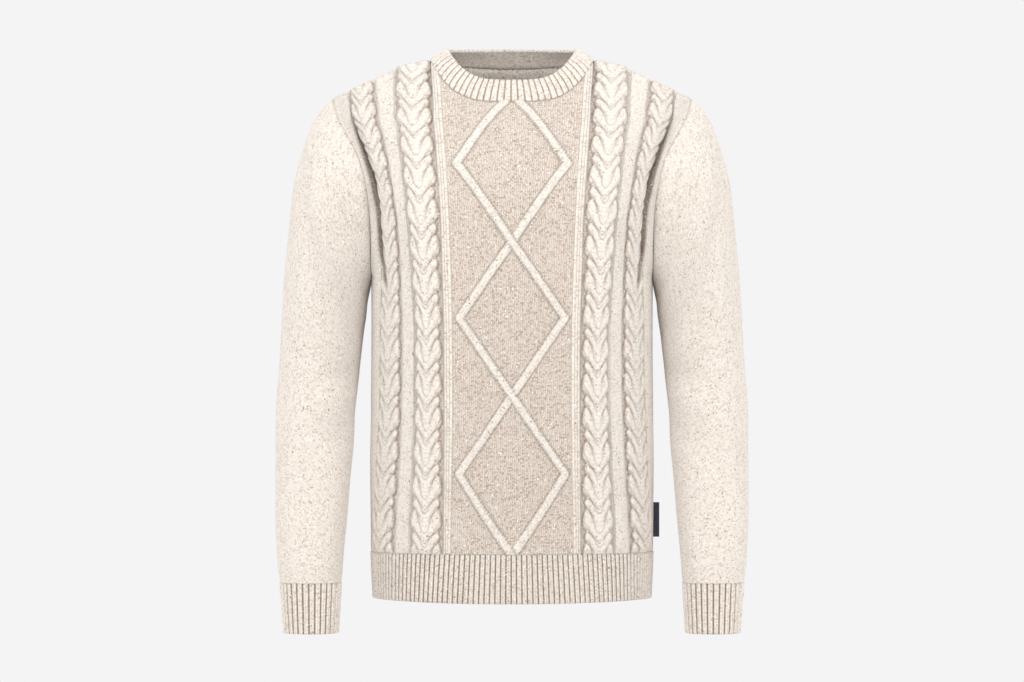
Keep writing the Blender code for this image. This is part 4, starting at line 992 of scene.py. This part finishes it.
def yarn_material():
    n = Nodes("oat_yarn_knit")
    stitch = n.add("ShaderNodeAttribute", attribute_name="stitch", attribute_type="GEOMETRY")
    painted_shade = n.add("ShaderNodeAttribute", attribute_name="painted_shade", attribute_type="GEOMETRY")
    painted_shade = painted_shade.outputs["Fac"]
    parts = n.add("ShaderNodeSeparateXYZ", {0: stitch.outputs["Vector"]})
    wale, course, purl = parts.outputs[0], parts.outputs[1], parts.outputs[2]
    place = n.add("ShaderNodeTexCoord").outputs["Object"]
    # hand of the yarn: stitches are never quite even
    uneven = n.math("MULTIPLY", n.math("SUBTRACT", n.noise(210.0, 2.0, place), 0.5), 0.22)
    course = n.math("ADD", course, uneven)
    # a knit stitch: two legs that rise outwards from the middle of the wale
    leg = n.math("ABSOLUTE", n.math("SUBTRACT", n.math("FRACT", wale), 0.5))
    offset = n.math("DIVIDE", n.math("SUBTRACT", leg, 0.25), 0.25)
    across = n.math("SUBTRACT", 1.0, n.math("MULTIPLY", offset, offset))
    phase = n.math("FRACT", n.math("SUBTRACT", course, n.math("MULTIPLY", leg, 1.7)))
    along = n.math("SINE", n.math("MULTIPLY", phase, math.pi))
    across, along = n.math("MAXIMUM", across, 0.0), n.math("MAXIMUM", along, 0.0)
    knit = n.math("SQRT", n.math("MULTIPLY", across, along))
    # a purl stitch: short bumps in rows that run up and down from wale to wale
    zigzag = n.math("MULTIPLY_ADD", leg, 2.0, course)
    drift = n.math("MULTIPLY_ADD", n.noise(140.0, 1.0, place), 1.6, wale)
    bump_across = n.math("ABSOLUTE", n.math("SINE", n.math("MULTIPLY", drift, math.pi)))
    bump_up = n.math("ABSOLUTE", n.math("SINE", n.math("MULTIPLY", zigzag, math.pi)))
    bump_across = n.math("MULTIPLY_ADD", bump_across, 0.5, 0.5)
    purl_form = n.math("POWER", n.math("MULTIPLY", bump_across, bump_up), 0.8)
    mixer = n.add("ShaderNodeMix", data_type="FLOAT")
    n.put(purl, mixer.inputs[0])
    n.put(knit, mixer.inputs[2])
    n.put(purl_form, mixer.inputs[3])
    form = mixer.outputs[0]
    fuzz = n.noise(1700.0, 3.0, place, 0.7)
    height = n.math("ADD", n.math("MULTIPLY", form, 0.8), n.math("MULTIPLY", fuzz, 0.3))
    n.bump(height, 0.85, 0.0010)
    # colour: uneven yarn, painted shade between the stitches, and deep brown painted shade in the
    # grooves, creases and outlines
    yarn = n.mix(n.scale(n.noise(520.0, 3.0, place, 0.65), 0.36, 0.66), CREAM, OAT)
    tone = n.mix(n.scale(n.noise(26.0, 2.0, place), 0.35, 0.7, 0.0, 0.16), yarn, OAT)
    # each stitch has its own share of darker fibre
    cell = n.add("ShaderNodeCombineXYZ", {0: n.math("FLOOR", wale), 1: n.math("FLOOR", course)})
    draw = n.add("ShaderNodeTexWhiteNoise", {"Vector": cell.outputs[0]}, noise_dimensions="2D")
    draw = draw.outputs[0]
    share = n.math("ADD", 0.36, n.math("MULTIPLY", purl, 0.30))
    tone = n.mix(n.math("MULTIPLY", n.math("POWER", draw, 3.0), share), tone, DARK_FIBRE_AND_SHADE)
    # painted shade in the hollows between the stitches, stronger on purl
    strength = n.math("ADD", 0.38, n.math("MULTIPLY", purl, 0.74))
    painted_stitch_shade = n.math("MULTIPLY", n.math("SUBTRACT", 1.0, form), strength)
    tone = n.mix(painted_stitch_shade, tone, DARK_FIBRE_AND_SHADE)
    # painted shade, a little uneven, deep brown in the grooves, creases and cable outlines
    uneven_painted_shade = n.scale(n.noise(430.0, 2.0, place), 0.3, 0.62, 0.68, 1.0)
    groove = n.math("MINIMUM", n.math("MULTIPLY", painted_shade, uneven_painted_shade), 1.0)
    tone = n.mix(n.math("MULTIPLY", groove, 0.95), tone, GROOVE_SHADOW)
    specks = n.noise(430.0, 0.0, place)
    area = n.scale(n.noise(60.0, 1.0, place), 0.35, 0.70, 0.775, 0.715)
    specks = n.scale(n.math("SUBTRACT", specks, area), 0.0, 0.03)
    tone = n.mix(n.math("MULTIPLY", specks, 0.85), tone, FLECK)
    shifted = n.add("ShaderNodeVectorMath", {0: place, 1: (3.1, 1.7, 5.3)}, operation="ADD")
    pale = n.scale(n.noise(480.0, 0.0, shifted.outputs[0]), 0.74, 0.78)
    tone = n.mix(n.math("MULTIPLY", pale, 0.7), tone, PALE_FLECK)
    n.put(tone, n.shader.inputs["Base Color"])
    n.shader.inputs["Roughness"].default_value = 0.92
    n.shader.inputs["Specular IOR Level"].default_value = 0.15
    n.shader.inputs["Sheen Weight"].default_value = 0.5
    n.shader.inputs["Sheen Roughness"].default_value = 0.45
    n.shader.inputs["Sheen Tint"].default_value = (1.0, 0.98, 0.95, 1.0)
    return n.material


def ribbon_material():
    n = Nodes("label_ribbon_weave")
    place = n.add("ShaderNodeTexCoord").outputs["Object"]
    weave = n.add("ShaderNodeTexWave", {"Vector": place, "Scale": 700.0, "Distortion": 0.6},
                  bands_direction="Z").outputs[1]
    tone = n.mix(n.scale(n.noise(900.0, 2.0, place), 0.35, 0.7), NAVY, PALE_NAVY)
    n.put(tone, n.shader.inputs["Base Color"])
    n.bump(weave, 0.5, 0.0002)
    n.shader.inputs["Roughness"].default_value = 0.6
    n.shader.inputs["Sheen Weight"].default_value = 0.2
    return n.material


def floor_material():
    n = Nodes("pale_floor")
    darker = tuple(0.97 * c for c in FLOOR_GREY[:3]) + (1.0,)
    tone = n.mix(n.scale(n.noise(3.0, 2.0), 0.3, 0.7, 0.0, 0.3), FLOOR_GREY, darker)
    n.put(tone, n.shader.inputs["Base Color"])
    n.shader.inputs["Roughness"].default_value = 0.8
    return n.material


# name, place in metres, size and power of the studio lights
LIGHTS = (
    ("left_light", (-2.5, -3.2, 0.2), 1.8, 68.0),
    ("right_light", (2.5, -3.2, 0.2), 1.8, 68.0),
    ("left_edge_light", (-3.2, 0.5, 0.2), 1.6, 16.0),
    ("right_edge_light", (3.2, 0.5, 0.2), 1.6, 16.0),
    ("neck_light", (0.0, -0.5, 0.5), 0.5, 2.0),
    ("back_light", (0.0, 3.2, 1.4), 2.2, 45.0),
)
LIGHTS_AIM = (0.0, 0.0, -0.33)

# the camera looks level along +Y, at the height of the garment's middle
CAMERA_PLACE = (0.0, -6.0, -0.351)
CAMERA_LENS = 168.75
FLOOR_HEIGHT = -0.95
BACKDROP = (0.905, 0.905, 0.905, 1.0)


def make_studio():
    """Pale floor, soft light and the camera."""
    mesh = bpy.data.meshes.new("floor")
    corners = [(x, y, FLOOR_HEIGHT) for x, y in ((-4, -4), (4, -4), (4, 1.9), (-4, 1.9))]
    mesh.from_pydata(corners, [], [(0, 1, 2, 3)])
    mesh.materials.append(floor_material())
    floor = new_object("floor", mesh)
    world = bpy.data.worlds.new("studio")
    bpy.context.scene.world = world
    world.use_nodes = True
    backdrop = world.node_tree.nodes["Background"]
    backdrop.inputs[0].default_value = BACKDROP
    backdrop.inputs[1].default_value = 1.0
    for name, place, size, power in LIGHTS:
        light = bpy.data.lights.new(name, "AREA")
        light.size = size
        light.energy = power
        lamp = new_object(name, light)
        lamp.location = place
        aim = np.array(LIGHTS_AIM) - np.array(place)
        tilt = math.acos(-aim[2] / np.linalg.norm(aim))
        lamp.rotation_euler = (tilt, 0, math.atan2(-aim[0], aim[1]))
    camera = bpy.data.cameras.new("camera")
    camera.lens = CAMERA_LENS
    camera.sensor_width = 36.0
    camera.clip_end = 60.0
    view = new_object("camera", camera)
    view.location = CAMERA_PLACE
    view.rotation_euler = (math.pi / 2, 0.0, 0.0)
    bpy.context.scene.camera = view
    bpy.context.scene.view_settings.view_transform = "Standard"


def main():
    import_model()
    yarn = yarn_material()
    charts = {"front": Chart(back=False), "back": Chart(back=True)}
    front = make_panel("front_panel", charts["front"], front_form, fine_columns(), 303, yarn)
    back = make_panel("back_panel", charts["back"], back_form,
                      np.linspace(-HALF_PANEL, HALF_PANEL, 201), 221, yarn)
    left = make_sleeve("sleeve_left", charts, False, yarn)
    right = make_sleeve("sleeve_right", charts, True, yarn)
    collar = make_collar(yarn)
    hem = make_hem(yarn)
    cuff_left = make_cuff("cuff_left", -1, yarn)
    cuff_right = make_cuff("cuff_right", 1, yarn)
    label = make_label(ribbon_material())
    make_studio()


main()
